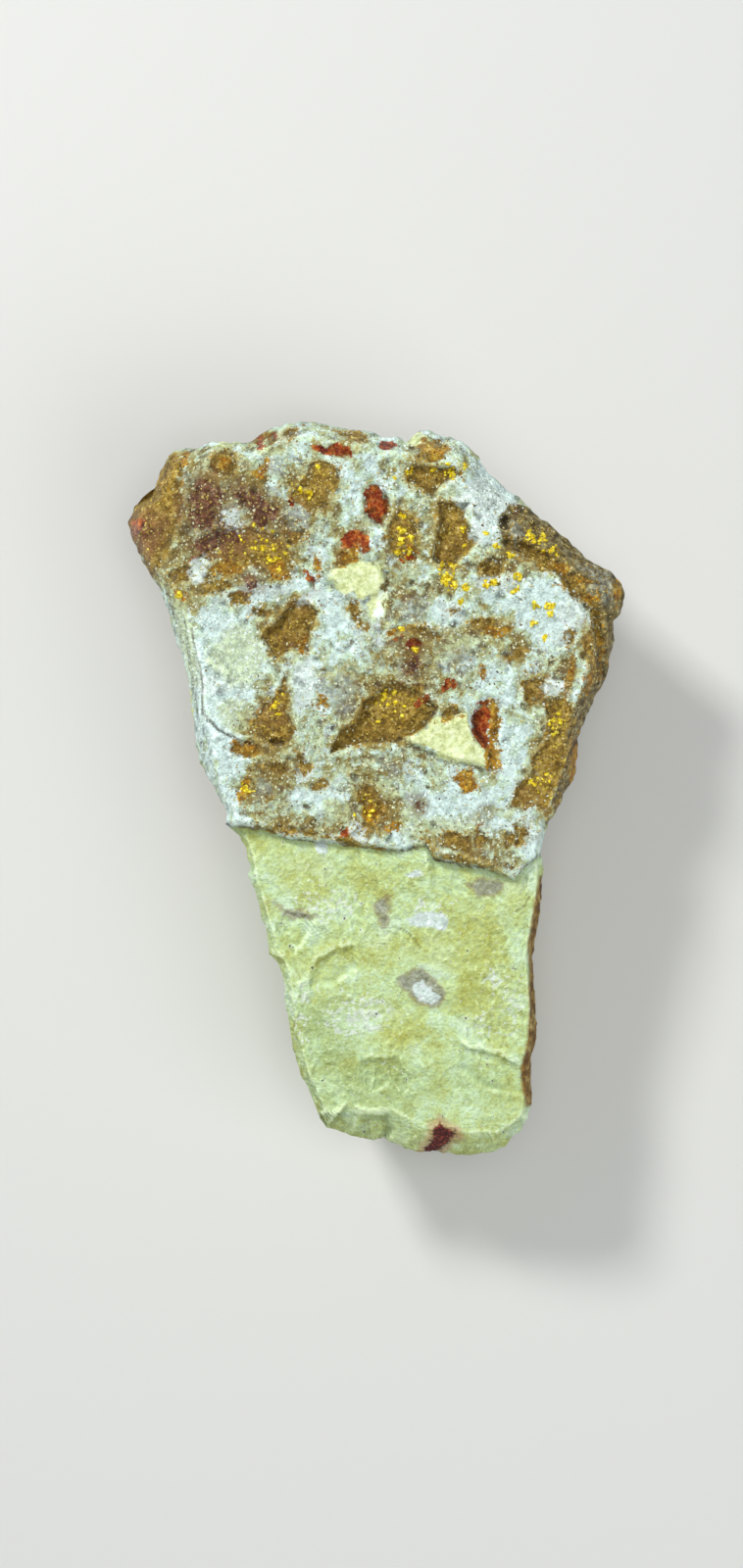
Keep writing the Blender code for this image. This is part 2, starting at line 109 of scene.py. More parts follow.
# Where the quartz meets the wall rock, from the left edge to the right one: place
# across, place along, and the share of the full step that shows there.
CONTACT: Stations = (
    (-19, -4.6, 1), (-14.6, -5.1, 1), (-10.6, -6.4, 1), (-4.1, -7, 1), (2.6, -7.9, 0.8),
    (6.4, -7.3, 0.5), (7.5, -9.1, 1), (14.1, -10.3, 0.9), (17.6, -11.5, 0.6), (19.1, -9.5, 0.5),
    (21, -8.3, 0.5),
)

# Casts left in the quartz by fragments that weathered out.
CENTRE_CAST: Outline = (
    (-5.6, 4.8), (-5.4, 5.8), (-4.5, 7.6), (-2.6, 8.5), (-1.6, 11), (2.1, 13.8), (5.3, 12.6),
    (7.8, 10.5), (7.1, 8.9), (5.6, 7.6), (2.8, 6.1), (-1.6, 6.1),
)
UPPER_CAST: Outline = (
    (7.9, 36.4), (11.7, 36.4), (11.2, 34.6), (13.1, 31.8), (10.8, 30), (9.7, 28.1), (8.3, 28.2),
    (7.2, 29.3), (7.7, 32.4), (8.2, 34),
)
CROWN_CAST: Outline = (
    (4.1, 40.3), (4.8, 41.1), (9.9, 40.8), (10.6, 39.8), (8.3, 38.8), (7.1, 37.3), (4.4, 39.3),
)
LEFT_CAST: Outline = (
    (-14.4, 19.3), (-12.6, 21.4), (-10.5, 23.9), (-9.2, 24), (-7.2, 22.6), (-8.3, 20.4),
    (-8.5, 17.7), (-10.8, 18.2), (-12.8, 16.8),
)
# Patches of cream clay that stand on the quartz.
ROUND_CLAY: Outline = (
    (-6.1, 26.8), (-5.4, 28), (-4.1, 28.8), (-1.6, 28.9), (0.6, 28.2), (1.2, 26.4), (0.2, 24.8),
    (-2, 23.9), (-4.2, 24.8),
)
SWEPT_CLAY: Outline = (
    (3.2, 7), (5, 7.4), (6.5, 7.8), (6.9, 9.2), (9, 9.2), (11.5, 9.5), (12.1, 7.4), (14.1, 4.9),
    (14.2, 2.8), (12.2, 3.5), (9.8, 3.8), (6.9, 4.9), (4.4, 6),
)
# Scars left in the wall rock by flakes that split off it.
SIDE_SCAR: Outline = (
    (-11.5, -15.4), (-8, -16.1), (-9, -18.3), (-10.5, -20.7), (-12.1, -19.3), (-12.9, -17.4),
)
UPPER_SCAR: Outline = (
    (-8.1, -22.3), (-7, -21.3), (-6, -20.6), (-4.6, -20.1), (-3.1, -20.1), (-2.6, -22.4),
    (-5.4, -24.3), (-8.1, -24.6),
)
LOWER_SCAR: Outline = (
    (-1.8, -34.4), (-2.4, -36.9), (-1, -38.4), (0.8, -37.5), (1.8, -36.9), (3.3, -38.6),
    (4.5, -36.5), (2.5, -34),
)
SWEPT_SCAR: Outline = (
    (10.8, -32.4), (12, -32.9), (13.8, -32.9), (15.6, -33.4), (16.9, -34.2), (18.4, -35.3),
    (18.8, -38.6), (14, -37.8), (10.8, -35.4),
)
END_SCOOP: Outline = (
    (-2, -42), (-0.6, -41.4), (1.2, -41.7), (1.9, -43.4), (1, -45.2), (-1, -45.6), (-2.3, -44.2),
)
# Each feature's outline, its height above or below what is round it, its edge's width.
RAISED_AND_SUNK: tuple[tuple[Outline, float, float], ...] = (
    (CENTRE_CAST, -1.1, 0.7),
    (UPPER_CAST, -0.9, 0.6),
    (CROWN_CAST, -0.9, 0.6),
    (LEFT_CAST, -0.8, 0.6),
    (ROUND_CLAY, 0.7, 0.9),
    (SWEPT_CLAY, 0.9, 0.9),
    (SIDE_SCAR, -0.3, 0.8),
    (UPPER_SCAR, -0.5, 1.2),
    (LOWER_SCAR, -0.6, 1),
    (SWEPT_SCAR, -0.5, 1),
    (END_SCOOP, -1.2, 1.6),
)
# Pits: place across, place along, half width, half length and depth.
PITS: Stations = (
    (14.8, 28.3, 1.5, 1.6, 0.9), (16.3, 34, 0.9, 1.3, 1), (-12.6, 6.1, 1.2, 0.6, 0.7),
    (-19.2, 41.4, 2.2, 1.9, 0.6), (0.1, 36.1, 2.1, 3.2, 0.8), (13.9, 8.7, 2.2, 4, 0.8),
    (-16.6, 5.2, 2.3, 1.3, 0.7), (-0.9, -2.2, 2, 1.6, 0.7),
)
# The stained groove that parts the top from the right shoulder.
GROOVE: Outline = (
    (16.6, 31.4), (19.8, 30.3), (22, 29.1), (24.4, 26.9), (26.3, 24.1), (28, 22), (28.2, 19.6),
    (28.7, 15.2),
)
# The left corner is a plane of its own, sloping down to the left from this line.
CORNER_LINE: Outline = ((-21.8, 38.5), (-23.5, 22))

# Patches traced on the seen face.
SHOULDER_BROWN: Outline = (
    (-33, 34), (-28, 42), (-25.8, 42.9), (-24.6, 41.5), (-24.4, 37), (-25.6, 33), (-26.6, 30),
    (-28.2, 27.4),
)
CORNER_BROWN: Outline = (
    (-21.1, 40.8), (-20.8, 42.6), (-19.1, 43.6), (-17.9, 42.4), (-17.6, 40.8), (-18.5, 39.5),
    (-20.4, 39.9),
)
OLIVE_BROWN: Outline = (
    (-9.2, 39.2), (-8.5, 41.1), (-6.4, 41.5), (-4.8, 40.8), (-4.6, 39.2), (-5.8, 37.6),
    (-6.4, 35.8), (-8.5, 35.6), (-9.9, 36.4), (-10.4, 37.6),
)
GLITTER_BROWN: Outline = (
    (-20.4, 31.4), (-18.9, 33), (-16, 33.2), (-13.5, 32.4), (-11.6, 31.4), (-10.4, 29.5),
    (-10.8, 26.8), (-12.2, 26.5), (-14.8, 28.2), (-16, 29.5), (-17.6, 27.6), (-19.1, 27),
    (-20.2, 28.2),
)
NUGGET_BROWN: Outline = (
    (1.5, 33.6), (3, 35.8), (4.9, 33.6), (4.9, 28.6), (4, 28.6), (2.8, 29.5), (1.5, 31.1),
)
HOLLOW_BROWN: Outline = (
    (13.4, 29.2), (15.9, 29), (16.1, 28.2), (15.2, 26.8), (13.6, 26.9), (13.4, 28),
)
LOWER_LEFT_BROWN: Outline = (
    (-11.6, 14.5), (-10.8, 12.6), (-11, 10.1), (-10.1, 8), (-10.8, 6.4), (-12.9, 5.8),
    (-14.8, 6.8), (-16, 7.4), (-15.4, 9.2), (-13.9, 11.1), (-12.2, 12.4),
)
RIGHT_BROWN: Outline = (
    (21.1, 11.1), (23.4, 11.8), (25.2, 10.8), (25.5, 8.9), (24.6, 5.1), (23.4, 2), (22.1, -0.5),
    (21.5, -3.6), (19.6, -2), (17.1, -2.4), (17.8, 0.8), (19.6, 1.4), (19.9, 4.2), (21.5, 5.8),
    (22.1, 8), (21.5, 9.9),
)
CONTACT_BROWN: Outline = (
    (-1.6, 0.8), (-0.1, 0.5), (1.5, -1.8), (1.1, -3.2), (-0.8, -6.4), (-3.5, -6.8), (-5.4, -6.4),
    (-3.5, -5.5), (-1.6, -4.2), (-1.4, -2), (-2.1, -0.5),
)
EDGE_BROWN: Outline = (
    (-5.1, 45.5), (-2.9, 45.8), (-1, 45.1), (-0.8, 43.9), (-2.2, 44.2), (-4.1, 44.9),
)
TALL_RED: Outline = (
    (-1.4, 38.2), (-0.4, 38.8), (0.9, 38.5), (1.8, 36.8), (1.5, 35.5), (0.9, 34.5), (0.9, 33.1),
    (-0.4, 34.1), (-1.4, 34.9),
)
ARCHED_RED: Outline = (
    (-4.6, 31.8), (-3.5, 32.5), (-2, 32.6), (-1, 31.8), (-0.4, 30.1), (-1.4, 30), (-2.2, 31.1),
    (-4.1, 30.8),
)
EDGE_RED: Outline = (
    (-7.9, 43.9), (-6.4, 43.6), (-4.8, 44.2), (-3.2, 43.6), (-2.9, 42.4), (-4.8, 42.6),
    (-6.6, 42.8), (-7.8, 43.2),
)
RIGHT_RED: Outline = (
    (12.1, 7.6), (12.2, 9.4), (13.2, 10.9), (14.2, 11.3), (14.7, 9.6), (14.3, 7.6), (14.4, 5.8),
    (13.4, 5.5), (12.5, 6.4),
)
CORNER_AMBER: Outline = (
    (-16.4, 40.8), (-14.8, 40.5), (-13.5, 42.4), (-13.2, 40.8), (-13.9, 38.9), (-15.1, 39.2),
)
LEFT_AMBER: Outline = (
    (-18.6, 5.1), (-17.9, 6.2), (-16.4, 5.9), (-14.6, 5.5), (-14.5, 4.4), (-15.8, 4), (-17.2, 4.5),
)
RIGHT_AMBER: Outline = (
    (14, 11.4), (15.5, 11.2), (16, 8.6), (15.5, 6), (15.5, 2.4), (14.7, 1.2), (13.9, 2.8),
    (13.8, 6), (14.2, 8),
)
DROP_AMBER: Outline = (
    (10.4, 2.9), (12.2, 2.9), (12.8, 1.3), (12, -0.5), (11, -0.2), (10.3, 1.4),
)
CORNER_MAROON: Outline = (
    (-24.1, 34.9), (-22.9, 37.6), (-22.2, 39.2), (-21.5, 39.5), (-20.4, 38), (-19.1, 36.8),
    (-19.2, 35.5), (-20.8, 35.1), (-20.1, 33.9), (-21.6, 33.2), (-23.5, 33.9),
)
END_MAROON: Outline = (
    (8.2, -42.4), (9, -43.1), (10.1, -43.6), (10.4, -44.2), (9.3, -44.7), (8.7, -45.6), (8, -46.6),
    (5.8, -46.8), (6.4, -45.4), (7, -44.4), (7.4, -43.3),
)
# The shoulder and flank right of the groove.
RIGHT_SHOULDER: Outline = (
    (15.2, 34.8), (17, 36.6), (19.5, 36.2), (32.5, 27), (32.5, 22), (31, 16), (27, 6), (26, 0),
    (22.8, -4.5), (22.6, 0.5), (23.6, 5.5), (26.2, 13), (27.8, 18), (27.4, 22), (24.6, 25.6),
    (20.6, 29.4), (16.4, 30.6),
)
LENS_RIM: Outline = (
    (2.8, -24.5), (4.4, -23.3), (6, -23.5), (7.6, -24.5), (8.7, -26), (7.9, -27.3), (6.8, -27.7),
    (5.5, -27.2), (4.4, -26), (3.4, -25.2),
)
LENS_CORE: Outline = (
    (4.4, -24.9), (5.8, -24.9), (7, -25.4), (8.1, -26.4), (7, -27.4), (5.7, -26.9), (4.6, -25.8),
)
WHITE_LENS: Outline = (
    (4.2, -16.4), (6.2, -15.5), (8.9, -15.7), (9.6, -16.8), (9.1, -18.1), (8, -17.8), (6, -17.6),
    (4.6, -17.3),
)
PEBBLE_RIM: Outline = (
    (11.5, -12.2), (12.6, -11.5), (14.4, -11.4), (15.9, -12), (15.8, -12.9), (14.6, -13.5),
    (12.6, -13.4),
)
# The side that shows past the wall rock's right edge. The rust laid on it is partly painted shade.
SIDE_STRIP: Outline = (
    (20.6, -11), (19.9, -14.6), (19.3, -19.1), (19.3, -27.4), (19.1, -31.7), (18.5, -35.5),
    (19, -40.5), (24, -41), (24, -11),
)
# Ledges on the wall rock: a line whose left side is high, the height that it drops, and
# how far back the high side slopes.
LEDGES: tuple[tuple[Outline, float, float], ...] = (
    (
        (
            (10.2, -31.6), (12, -32.9), (13.8, -32.9), (15.6, -33.4), (16.9, -34.2), (18.3, -35.2),
        ),
        0.45,
        3,
    ),
    (((-8.2, -22.9), (-7.4, -21.5), (-5.1, -20.5), (-3.1, -19.9), (-2, -19)), 0.22, 1.8),
    (((-8.1, -16.2), (-8.8, -18.2), (-10.2, -20.8)), 0.16, 1.4),
    (((1.7, -35.6), (2.3, -37.3), (3.4, -38.6), (4.2, -37.6), (4.8, -35.8)), 0.24, 1.4),
    (((-2.4, -33.9), (-2.5, -37.4), (-1.1, -38.4), (-0.4, -36.6), (-0.2, -34.2)), 0.22, 1.2),
    (((-11.9, -24.4), (-9.9, -24.8), (-8, -24), (-4, -23.6)), 0.15, 1.6),
    (((4.6, -34.2), (6, -35.4), (7, -34.8), (7.6, -33.4)), 0.18, 1.4),
    (((-7, -31.6), (-5.6, -32.6), (-4.6, -31.8)), 0.16, 1.2),
    (((16.2, -19), (17, -20.2), (18.6, -20.6)), 0.18, 1.4),
    (((8.8, -19.6), (10.4, -21), (12.6, -20.8), (13.8, -19.4)), 0.14, 1.6),
)
LEFT_STRIP: Outline = (
    (-27.3, 27), (-26.4, 25.8), (-25.4, 20.8), (-24.1, 15.8), (-23.3, 13.3), (-22, 13.3),
    (-22.6, 17.3), (-23.3, 20.4), (-24.1, 22.6), (-25.6, 25.8),
)
# Cracks and crevices, in the quartz and then in the wall rock.
CRACKS: tuple[Outline, ...] = (
    (
        (-23.3, 20.4), (-22.6, 17.3), (-21.9, 15), (-21.8, 13.3), (-22, 9.6), (-19.9, 7.4),
        (-15.9, 5.9),
    ),
    ((-13.2, 6.4), (-11.6, 6)),
    ((15.9, 34.9), (16.4, 33.8), (16.8, 33.1)),
    ((26.5, 7.6), (24.6, 4.5), (23.6, 2), (22.8, -0.5), (22.1, -2)),
    ((7.5, -8.7), (8.8, -9.2), (11.4, -9.6), (13.6, -9.9)),
    ((-11.4, -15.3), (-10.2, -15.8), (-8.8, -15.9)),
    ((2.3, -17.3), (4.4, -18.2), (5.6, -20.2)),
    ((17.6, -15.6), (18.6, -15.1), (19.4, -13.8)),
)


class Mineral(Enum):
    """What a patch of the stone is made of. Each value names an attribute of the mesh."""

    WASH = "iron_wash"
    PALE = "pale_quartz"
    TAN = "tan_iron"
    AMBER = "amber_iron"
    RED = "red_iron"
    MAROON = "maroon_iron"
    DARK = "dark_shoulder"
    CLAY = "cream_clay"
    WHITE = "white_quartz"
    GREY = "grey_quartz"
    GOLD = "gold"
    OCHRE = "ochre_wall_rock"
    GREEN = "green_wall_rock"
    FLECKS = "white_flecks"


# Patches of the seen face: place across, place along, half width, half length and, where
# it has one, the turn to the left in degrees.
PATCHES: dict[Mineral, Stations] = {
    Mineral.WASH: (
        (-21.5, 34, 9, 9.5), (-13, 32, 5, 5.5), (-8, 38, 4, 4.5), (-13.5, 44.2, 3, 1.3),
        (-4, 44, 4.4, 1.8, -10), (3.2, 32.5, 2.6, 5), (9.6, 33, 3.6, 5.5), (7.6, 40.2, 4.6, 2.4),
        (-13.4, 9, 4.4, 5.6), (-10.4, 20.8, 4.2, 4.2), (1, 10, 7.4, 5, 20), (-1, -3, 4.2, 4.6),
        (-13, 0.5, 4.6, 4), (11.5, -7, 6, 2.2, -10), (5, 18, 7, 3.2), (14, 19, 4, 2.4),
        (22.5, 4.5, 3.4, 8.5, -12), (20, 12.4, 2.6, 3), (17, 29, 3.6, 2.6, -30), (3, 24, 4, 3),
        (-8, -4.5, 9, 1.4, -5), (26.5, 17, 2, 5, 5), (0.5, 4, 5, 1.6), (-3.2, 28.6, 2.2, 4.4),
        (7.5, 25.5, 3, 2), (-24.5, 24.5, 2.4, 2.2), (9, 13.5, 3, 2.5), (19, 17.5, 5, 2.6),
        (23, 16, 3, 3),
    ),
    Mineral.PALE: (
        (-19.4, 16.5, 5, 6.5, 10), (-21.3, 8, 2.6, 4.6, 6), (13.6, 38.6, 4.6, 3.2, -40),
        (15, 34.6, 3, 2.6), (21.5, 22, 5, 5, -30), (16.6, 3.6, 1.8, 6.4, -14), (-4, 22, 3, 3.4),
        (-9.2, 14.4, 1.4, 4.4), (1, 44.6, 2.4, 1.2), (-8.6, 45.6, 3.6, 1),
        (24.4, -0.2, 0.8, 2.6, -20), (27.6, 20.6, 1, 1), (-7.6, 0.5, 3, 2), (8.4, -1.6, 3.4, 1.8),
        (-16.2, 24.6, 2.4, 1.6), (2.4, -6.2, 3.4, 1.2), (16, 14, 3, 2.2), (-17.8, 34, 1.6, 1),
        (9, 21.4, 3, 1.8), (-19.4, -1, 1.6, 2.6), (5, 37.2, 1.6, 1.2), (-10, 25.6, 3, 0.8, 20),
        (19.4, -7, 2.4, 1.6),
    ),
    Mineral.TAN: (
        (-17.6, 23.9, 1.6, 0.9, 10), (-14.9, 22.1, 0.9, 0.6), (-10.9, 44.9, 0.8, 0.4),
        (-13.8, 44.6, 1.7, 0.9, 10), (-11.1, 14.2, 0.4, 1.3), (19.8, 12.4, 1.3, 1.7),
        (9.9, 21.7, 0.5, 0.4), (-12, 2.3, 1.6, 0.7, -10), (10.1, -6.4, 2.6, 0.9, -8),
        (11.6, -9.3, 2.6, 0.35, -8), (16.4, -6.6, 0.9, 1.2, 20), (18.3, -6.2, 0.8, 1.2),
        (13, -6, 0.5, 0.9), (-21, 30.2, 1.2, 0.9), (-9.8, 32.6, 1.6, 0.9, 30),
        (5.5, 12.4, 1.6, 0.9, 30), (24.8, 19.4, 1, 0.5, 20), (17.8, 16.2, 1, 0.6, 20),
        (-7, 1.2, 1, 0.7), (27.4, 16.4, 0.8, 4, 8), (-24, 27.6, 1.6, 0.9), (7, 43.2, 1.8, 1.4),
        (-20, 25.6, 1.8, 0.8), (14, 20, 2.4, 0.9), (6, 19.4, 2.4, 0.6, -6), (9.4, 8.8, 1, 0.8),
        (-9.2, 3.4, 0.8, 1.4, 20), (22.6, -2.4, 0.8, 1.6), (-3.6, 29.4, 1.4, 1.4),
        (-2, 21.6, 0.5, 1.6, 8), (-10.2, -5.4, 3.6, 0.5, -8), (-2.3, -6.9, 3.2, 0.5, -6),
        (10.8, -8.8, 3, 0.5, -10), (20.4, 29.8, 3.4, 0.9, -28), (25.4, 25.6, 2.6, 0.9, -48),
        (28, 20.6, 0.8, 3),
    ),
    Mineral.AMBER: (
        (-24.1, 41.9, 0.7, 0.9), (-18.7, 28.4, 1.5, 1.1), (7.7, 43, 0.7, 1.2),
        (-7.4, 29.4, 0.4, 1.3), (-12, 27.8, 1.1, 1.4), (15.4, 19.6, 1.6, 0.9),
        (-7.1, 10.9, 0.5, 0.8), (23.1, 26.1, 0.5, 0.3), (-9, 18.6, 0.5, 0.9, -20),
        (-3, 29.6, 1, 1.3), (2.1, 20.1, 0.4, 0.6), (-24.9, 24.9, 0.8, 0.8),
        (-16.5, -0.2, 0.9, 1.7), (30.9, 24.6, 0.6, 1.9), (-0.6, -2.8, 1.2, 1.1),
        (24.4, 14.2, 0.5, 2.6), (26.7, 13.1, 0.6, 1.6), (25.2, 3.6, 0.6, 3.6, -16),
        (22.6, 28.8, 2.2, 0.4, -40), (26.8, 24.2, 1.6, 0.4, -56), (28.6, 18.4, 0.4, 2.4, 4),
        (2.2, -4.6, 0.8, 0.5), (1.4, 36.6, 0.5, 1.6), (13.5, 14.6, 0.5, 0.9),
        (-19.2, 41.6, 0.9, 0.9),
    ),
    Mineral.RED: (
        (-14.1, 43.6, 0.5, 0.9), (-12.4, 45.3, 0.5, 0.5), (1.4, 43.4, 0.9, 0.7, -40),
        (-8.3, 27, 0.5, 1.1), (-30.1, 33.2, 1, 1.1), (3.9, 29.2, 0.7, 0.5),
        (4.3, 17.4, 1, 0.7, -20), (-4.6, -5, 0.6, 0.6, 30), (9.7, 25.8, 0.3, 0.4),
        (2.2, 18.6, 0.6, 0.5), (9.4, 12.6, 0.5, 1, -30), (0.3, 20.3, 0.5, 0.4),
        (-22.6, 29.4, 0.5, 0.9, -20), (6.6, 11.2, 0.9, 0.5, 30), (-9.8, 36, 0.4, 0.5),
    ),
    Mineral.MAROON: (
        (-15.8, 36.4, 2.4, 1, -10), (-15.4, 26.4, 1, 1), (17.7, 35.2, 0.4, 0.4),
        (-18.6, 33.4, 1.6, 1.6), (4.9, 15.6, 1.1, 0.8), (-21.6, 31.8, 1.6, 1.4),
        (-29.6, 32.6, 1.2, 1.2), (-13, 34.6, 1.6, 1.4), (5, -1.4, 0.5, 0.5),
    ),
    Mineral.CLAY: (
        (-24.3, 9, 0.8, 3.4, -8), (5.4, 44.2, 2, 0.9, -10), (-18.4, 44.4, 1.9, 0.7),
        (0, 23.2, 1, 1.6),
    ),
    Mineral.WHITE: (
        (22.4, 12.8, 1.6, 0.9), (-20.2, 13.3, 1.8, 0.9), (13.9, 37, 2.6, 2),
        (-18.1, 33.8, 1.6, 0.9), (5.6, -10.4, 0.9, 0.6), (-6.9, -8, 0.7, 1.2),
        (-8.9, 13.4, 1.2, 3.2, 8), (15.6, 26.4, 2, 1.6), (25, 21.6, 1.6, 1.8), (-22, 28, 1.2, 2),
        (-8.4, 24.6, 2, 1, 30), (-2.2, -5, 1.6, 0.8, -20), (13.4, 34, 1, 1.8), (0.4, 20.6, 0.5, 3),
        (11.4, 36.8, 1.2, 0.8),
    ),
    Mineral.GREY: (
        (-4.6, 11.4, 1.8, 2.2, -20), (1.3, -14.2, 0.9, 1.3), (1.5, -16.4, 0.5, 0.9),
        (-10.2, -15.3, 1.4, 0.3, -8), (11, 16, 2, 1.2), (5, 22.6, 2.2, 1.6),
        (2.6, 2.8, 1.6, 0.9, -30), (-12.4, 40.6, 1.2, 1.4), (17.8, 32.4, 1, 1.6, 20),
        (28.2, 25.4, 3.4, 1.6, -48), (-13.5, -0.5, 1.2, 1.4), (-9.6, 34.4, 1.8, 1.6),
    ),
    Mineral.GOLD: (
        (4.5, 40.4, 0.9, 0.6), (9.4, 40.2, 1.4, 0.8), (3.5, 31.8, 1.2, 2.6), (9.1, 26.7, 1.4, 0.8),
        (22, 30, 3.4, 1.4, -38), (-8.2, 38.6, 2, 2.2), (-15.5, 30.5, 4, 1.6),
        (2, 10.5, 3.6, 1.8, 30), (-24.9, 24.8, 0.6, 0.6), (23.5, 8, 1.4, 2.6),
        (-12.8, 10, 1.6, 2.2), (21, 1, 1.6, 2.6), (-1, -2, 1.4, 1.6), (-16.4, 0, 0.8, 1.4),
        (10.2, 32.4, 1.2, 2.4),
    ),
    Mineral.OCHRE: (
        (13.4, -15.2, 2.2, 1.4), (-1.9, -12.2, 1.2, 2), (-3, -10, 2.6, 0.8),
        (0, -20.4, 10, 1.8, 6), (9, -20.6, 6, 3), (-8.4, -22.8, 2.6, 0.9, 30),
        (-0.6, -42.8, 2.6, 1, -12), (13, -27, 4, 3.6), (12, -45, 3, 1), (17, -14, 2.4, 3.4),
        (4, -44.8, 12, 1.5), (3.4, -31, 3, 3.6), (-15.4, -7.6, 3, 2, -20), (-4, -36.8, 3.4, 1.2),
        (-9, -11, 3.6, 3), (12, -20, 5, 5),
    ),
    Mineral.GREEN: (
        (0, -37.6, 9, 4), (-6, -30.4, 4.5, 4.5), (13, -37, 5, 3, -20), (-11.1, -2, 1.1, 1.2, 20),
        (-5, -2.3, 1.3, 1.2), (1.6, 0.4, 1.3, 1.2, -40), (-9.6, 16.8, 1, 1.2),
        (-7.4, 6.6, 0.9, 1.3), (-13.6, 43.2, 2, 1), (8.6, 38, 1.8, 0.6, -10), (-17.6, 17, 3, 3.6),
        (-1.6, 22, 1.6, 1.6), (8, -5, 4, 1.2), (20.2, 9.6, 0.8, 1.2), (4, -3.4, 1.6, 1.4),
        (-18, 9.6, 2.4, 2.2), (-20.6, -1.2, 1, 2.2), (10.8, 17.6, 3, 1),
    ),
    Mineral.FLECKS: (
        (-2.6, -29, 5.6, 3, -15), (-6, -14.8, 5.6, 2.6), (17.2, -27.4, 1.6, 4),
        (6.8, -14.6, 3, 1.2), (-9, -26, 2.6, 1.8), (15, -24, 2, 2.4), (-9.5, -30, 1.6, 4, 15),
        (14, -30, 2, 1.6),
    ),
}
PATCH_OUTLINES: dict[Mineral, tuple[Outline, ...]] = {
    Mineral.TAN: (
        CENTRE_CAST, UPPER_CAST, CROWN_CAST, LEFT_CAST, SHOULDER_BROWN, CORNER_BROWN,
        OLIVE_BROWN, GLITTER_BROWN, NUGGET_BROWN, HOLLOW_BROWN, LOWER_LEFT_BROWN,
        RIGHT_BROWN, CONTACT_BROWN, EDGE_BROWN,
    ),
    Mineral.AMBER: (CORNER_AMBER, LEFT_AMBER, RIGHT_AMBER, DROP_AMBER),
    Mineral.RED: (TALL_RED, ARCHED_RED, EDGE_RED, RIGHT_RED),
    Mineral.MAROON: (CORNER_MAROON, END_MAROON),
    Mineral.GREY: (LENS_RIM, PEBBLE_RIM),
    Mineral.DARK: (RIGHT_SHOULDER,),
    Mineral.CLAY: (ROUND_CLAY, SWEPT_CLAY),
    Mineral.GREEN: (LEFT_STRIP,),
    Mineral.WHITE: (WHITE_LENS, LENS_CORE),
}
# Patches off the seen face: their noise's cell, its level at a patch's edge and its seed.
SCATTERED: dict[Mineral, tuple[float, float, int]] = {
    Mineral.WASH: (9, -0.05, 59),
    Mineral.PALE: (8, 0.25, 58),
    Mineral.TAN: (6.5, 0.16, 61),
    Mineral.AMBER: (3.2, 0.42, 62),
    Mineral.RED: (4.5, 0.60, 63),
    Mineral.MAROON: (5, 0.48, 64),
    Mineral.CLAY: (7.5, 0.42, 65),
    Mineral.WHITE: (5.5, 0.48, 66),
    Mineral.GREY: (5, 0.40, 67),
    Mineral.GOLD: (3.5, 0.50, 68),
    Mineral.OCHRE: (9, 0, 69),
    Mineral.FLECKS: (6, 0.3, 57),
    Mineral.DARK: (5, 2, 60),
    Mineral.GREEN: (5, 2, 60),
}
# Gold that shows as grains of its own: place across, place along, spread and count.
GOLD_CLUSTERS: Stations = (
    (4.5, 40.5, 0.5, 7), (7.6, 40.7, 0.3, 3), (9.4, 40.3, 0.8, 14), (11.3, 40.9, 0.35, 4),
    (2.4, 39.4, 0.3, 3), (8.4, 28.4, 0.35, 5), (9.9, 28.4, 0.35, 5), (11.1, 33, 0.3, 3),
    (11.2, 31.1, 0.3, 3), (3.3, 34.9, 0.35, 5), (3.4, 32.9, 0.45, 7), (4.4, 31.7, 0.4, 6),
    (3.2, 31.5, 0.35, 5), (2.8, 30.1, 0.4, 6), (4.3, 30.4, 0.35, 5), (9, 26.6, 0.8, 16),
    (10.1, 25.9, 0.4, 6), (11.3, 25.6, 0.35, 6), (13.9, 26.1, 0.4, 6), (15, 26.3, 0.3, 4),
    (10.8, 23.8, 0.35, 4), (17.8, 25.4, 0.4, 5), (18, 27.1, 0.4, 6), (17, 29.8, 0.4, 6),
    (15.3, 30.9, 0.4, 6), (13.9, 32.6, 0.3, 3), (20.4, 23.6, 0.4, 6), (22, 23.5, 0.5, 8),
    (22.1, 22.3, 0.3, 4), (19.9, 21.2, 0.4, 6), (21.5, 19.3, 0.3, 3), (-7.3, 41, 0.35, 4),
    (-9.6, 38, 0.35, 4), (-8.4, 37.5, 0.3, 3), (19.4, 32.2, 0.6, 8), (21, 31.6, 0.7, 8),
    (22.6, 30.4, 0.6, 6), (3.3, 20.4, 0.3, 5), (5, 17.6, 0.3, 5), (-24.9, 24.8, 0.4, 6),
    (-15, 31, 1.6, 12), (-12.4, 29.4, 1.2, 8), (1.5, 11.5, 2.2, 12), (23, 8.5, 1.2, 8),
    (-16.4, 0.2, 0.6, 7), (21, 1.5, 1.4, 8), (-1.4, -3, 1.2, 7), (-12.6, 10.4, 1.2, 7),
)


def srgb(red: float, green: float, blue: float) -> tuple[float, float, float, float]:
    """A colour as a screen shows it, from 0 to 255, made linear for a shader.

    Args:
        red: The red value.
        green: The green value.
        blue: The blue value.

    Returns:
        Linear red, green and blue, and an alpha of 1.
    """
    share = np.array((red, green, blue)) / 255
    low = share / 12.92
    high = ((share + 0.055) / 1.055) ** 2.4
    linear = np.where(share <= 0.04045, low, high)
    return (*map(float, linear), 1.0)


def corner_values(corners: Array, seed: int) -> Array:
    """One number from -1 to 1 for each lattice corner, mixed from its whole-number place.

    Args:
        corners: Whole numbers, one row of three for each corner.
        seed: Picks one pattern of many.

    Returns:
        One value for each corner.
    """
    mixed = corners[:, 0] * 73856093 ^ corners[:, 1] * 19349663 ^ corners[:, 2] * 83492791
    mixed = (mixed ^ seed * 40503) & 0x7FFFFFFF
    mixed = (mixed ^ mixed >> 13) * 1274126177 & 0x7FFFFFFF
    mixed = (mixed ^ mixed >> 16) * 668265263 & 0x7FFFFFFF
    return (mixed % 65521) / 32760.0 - 1.0


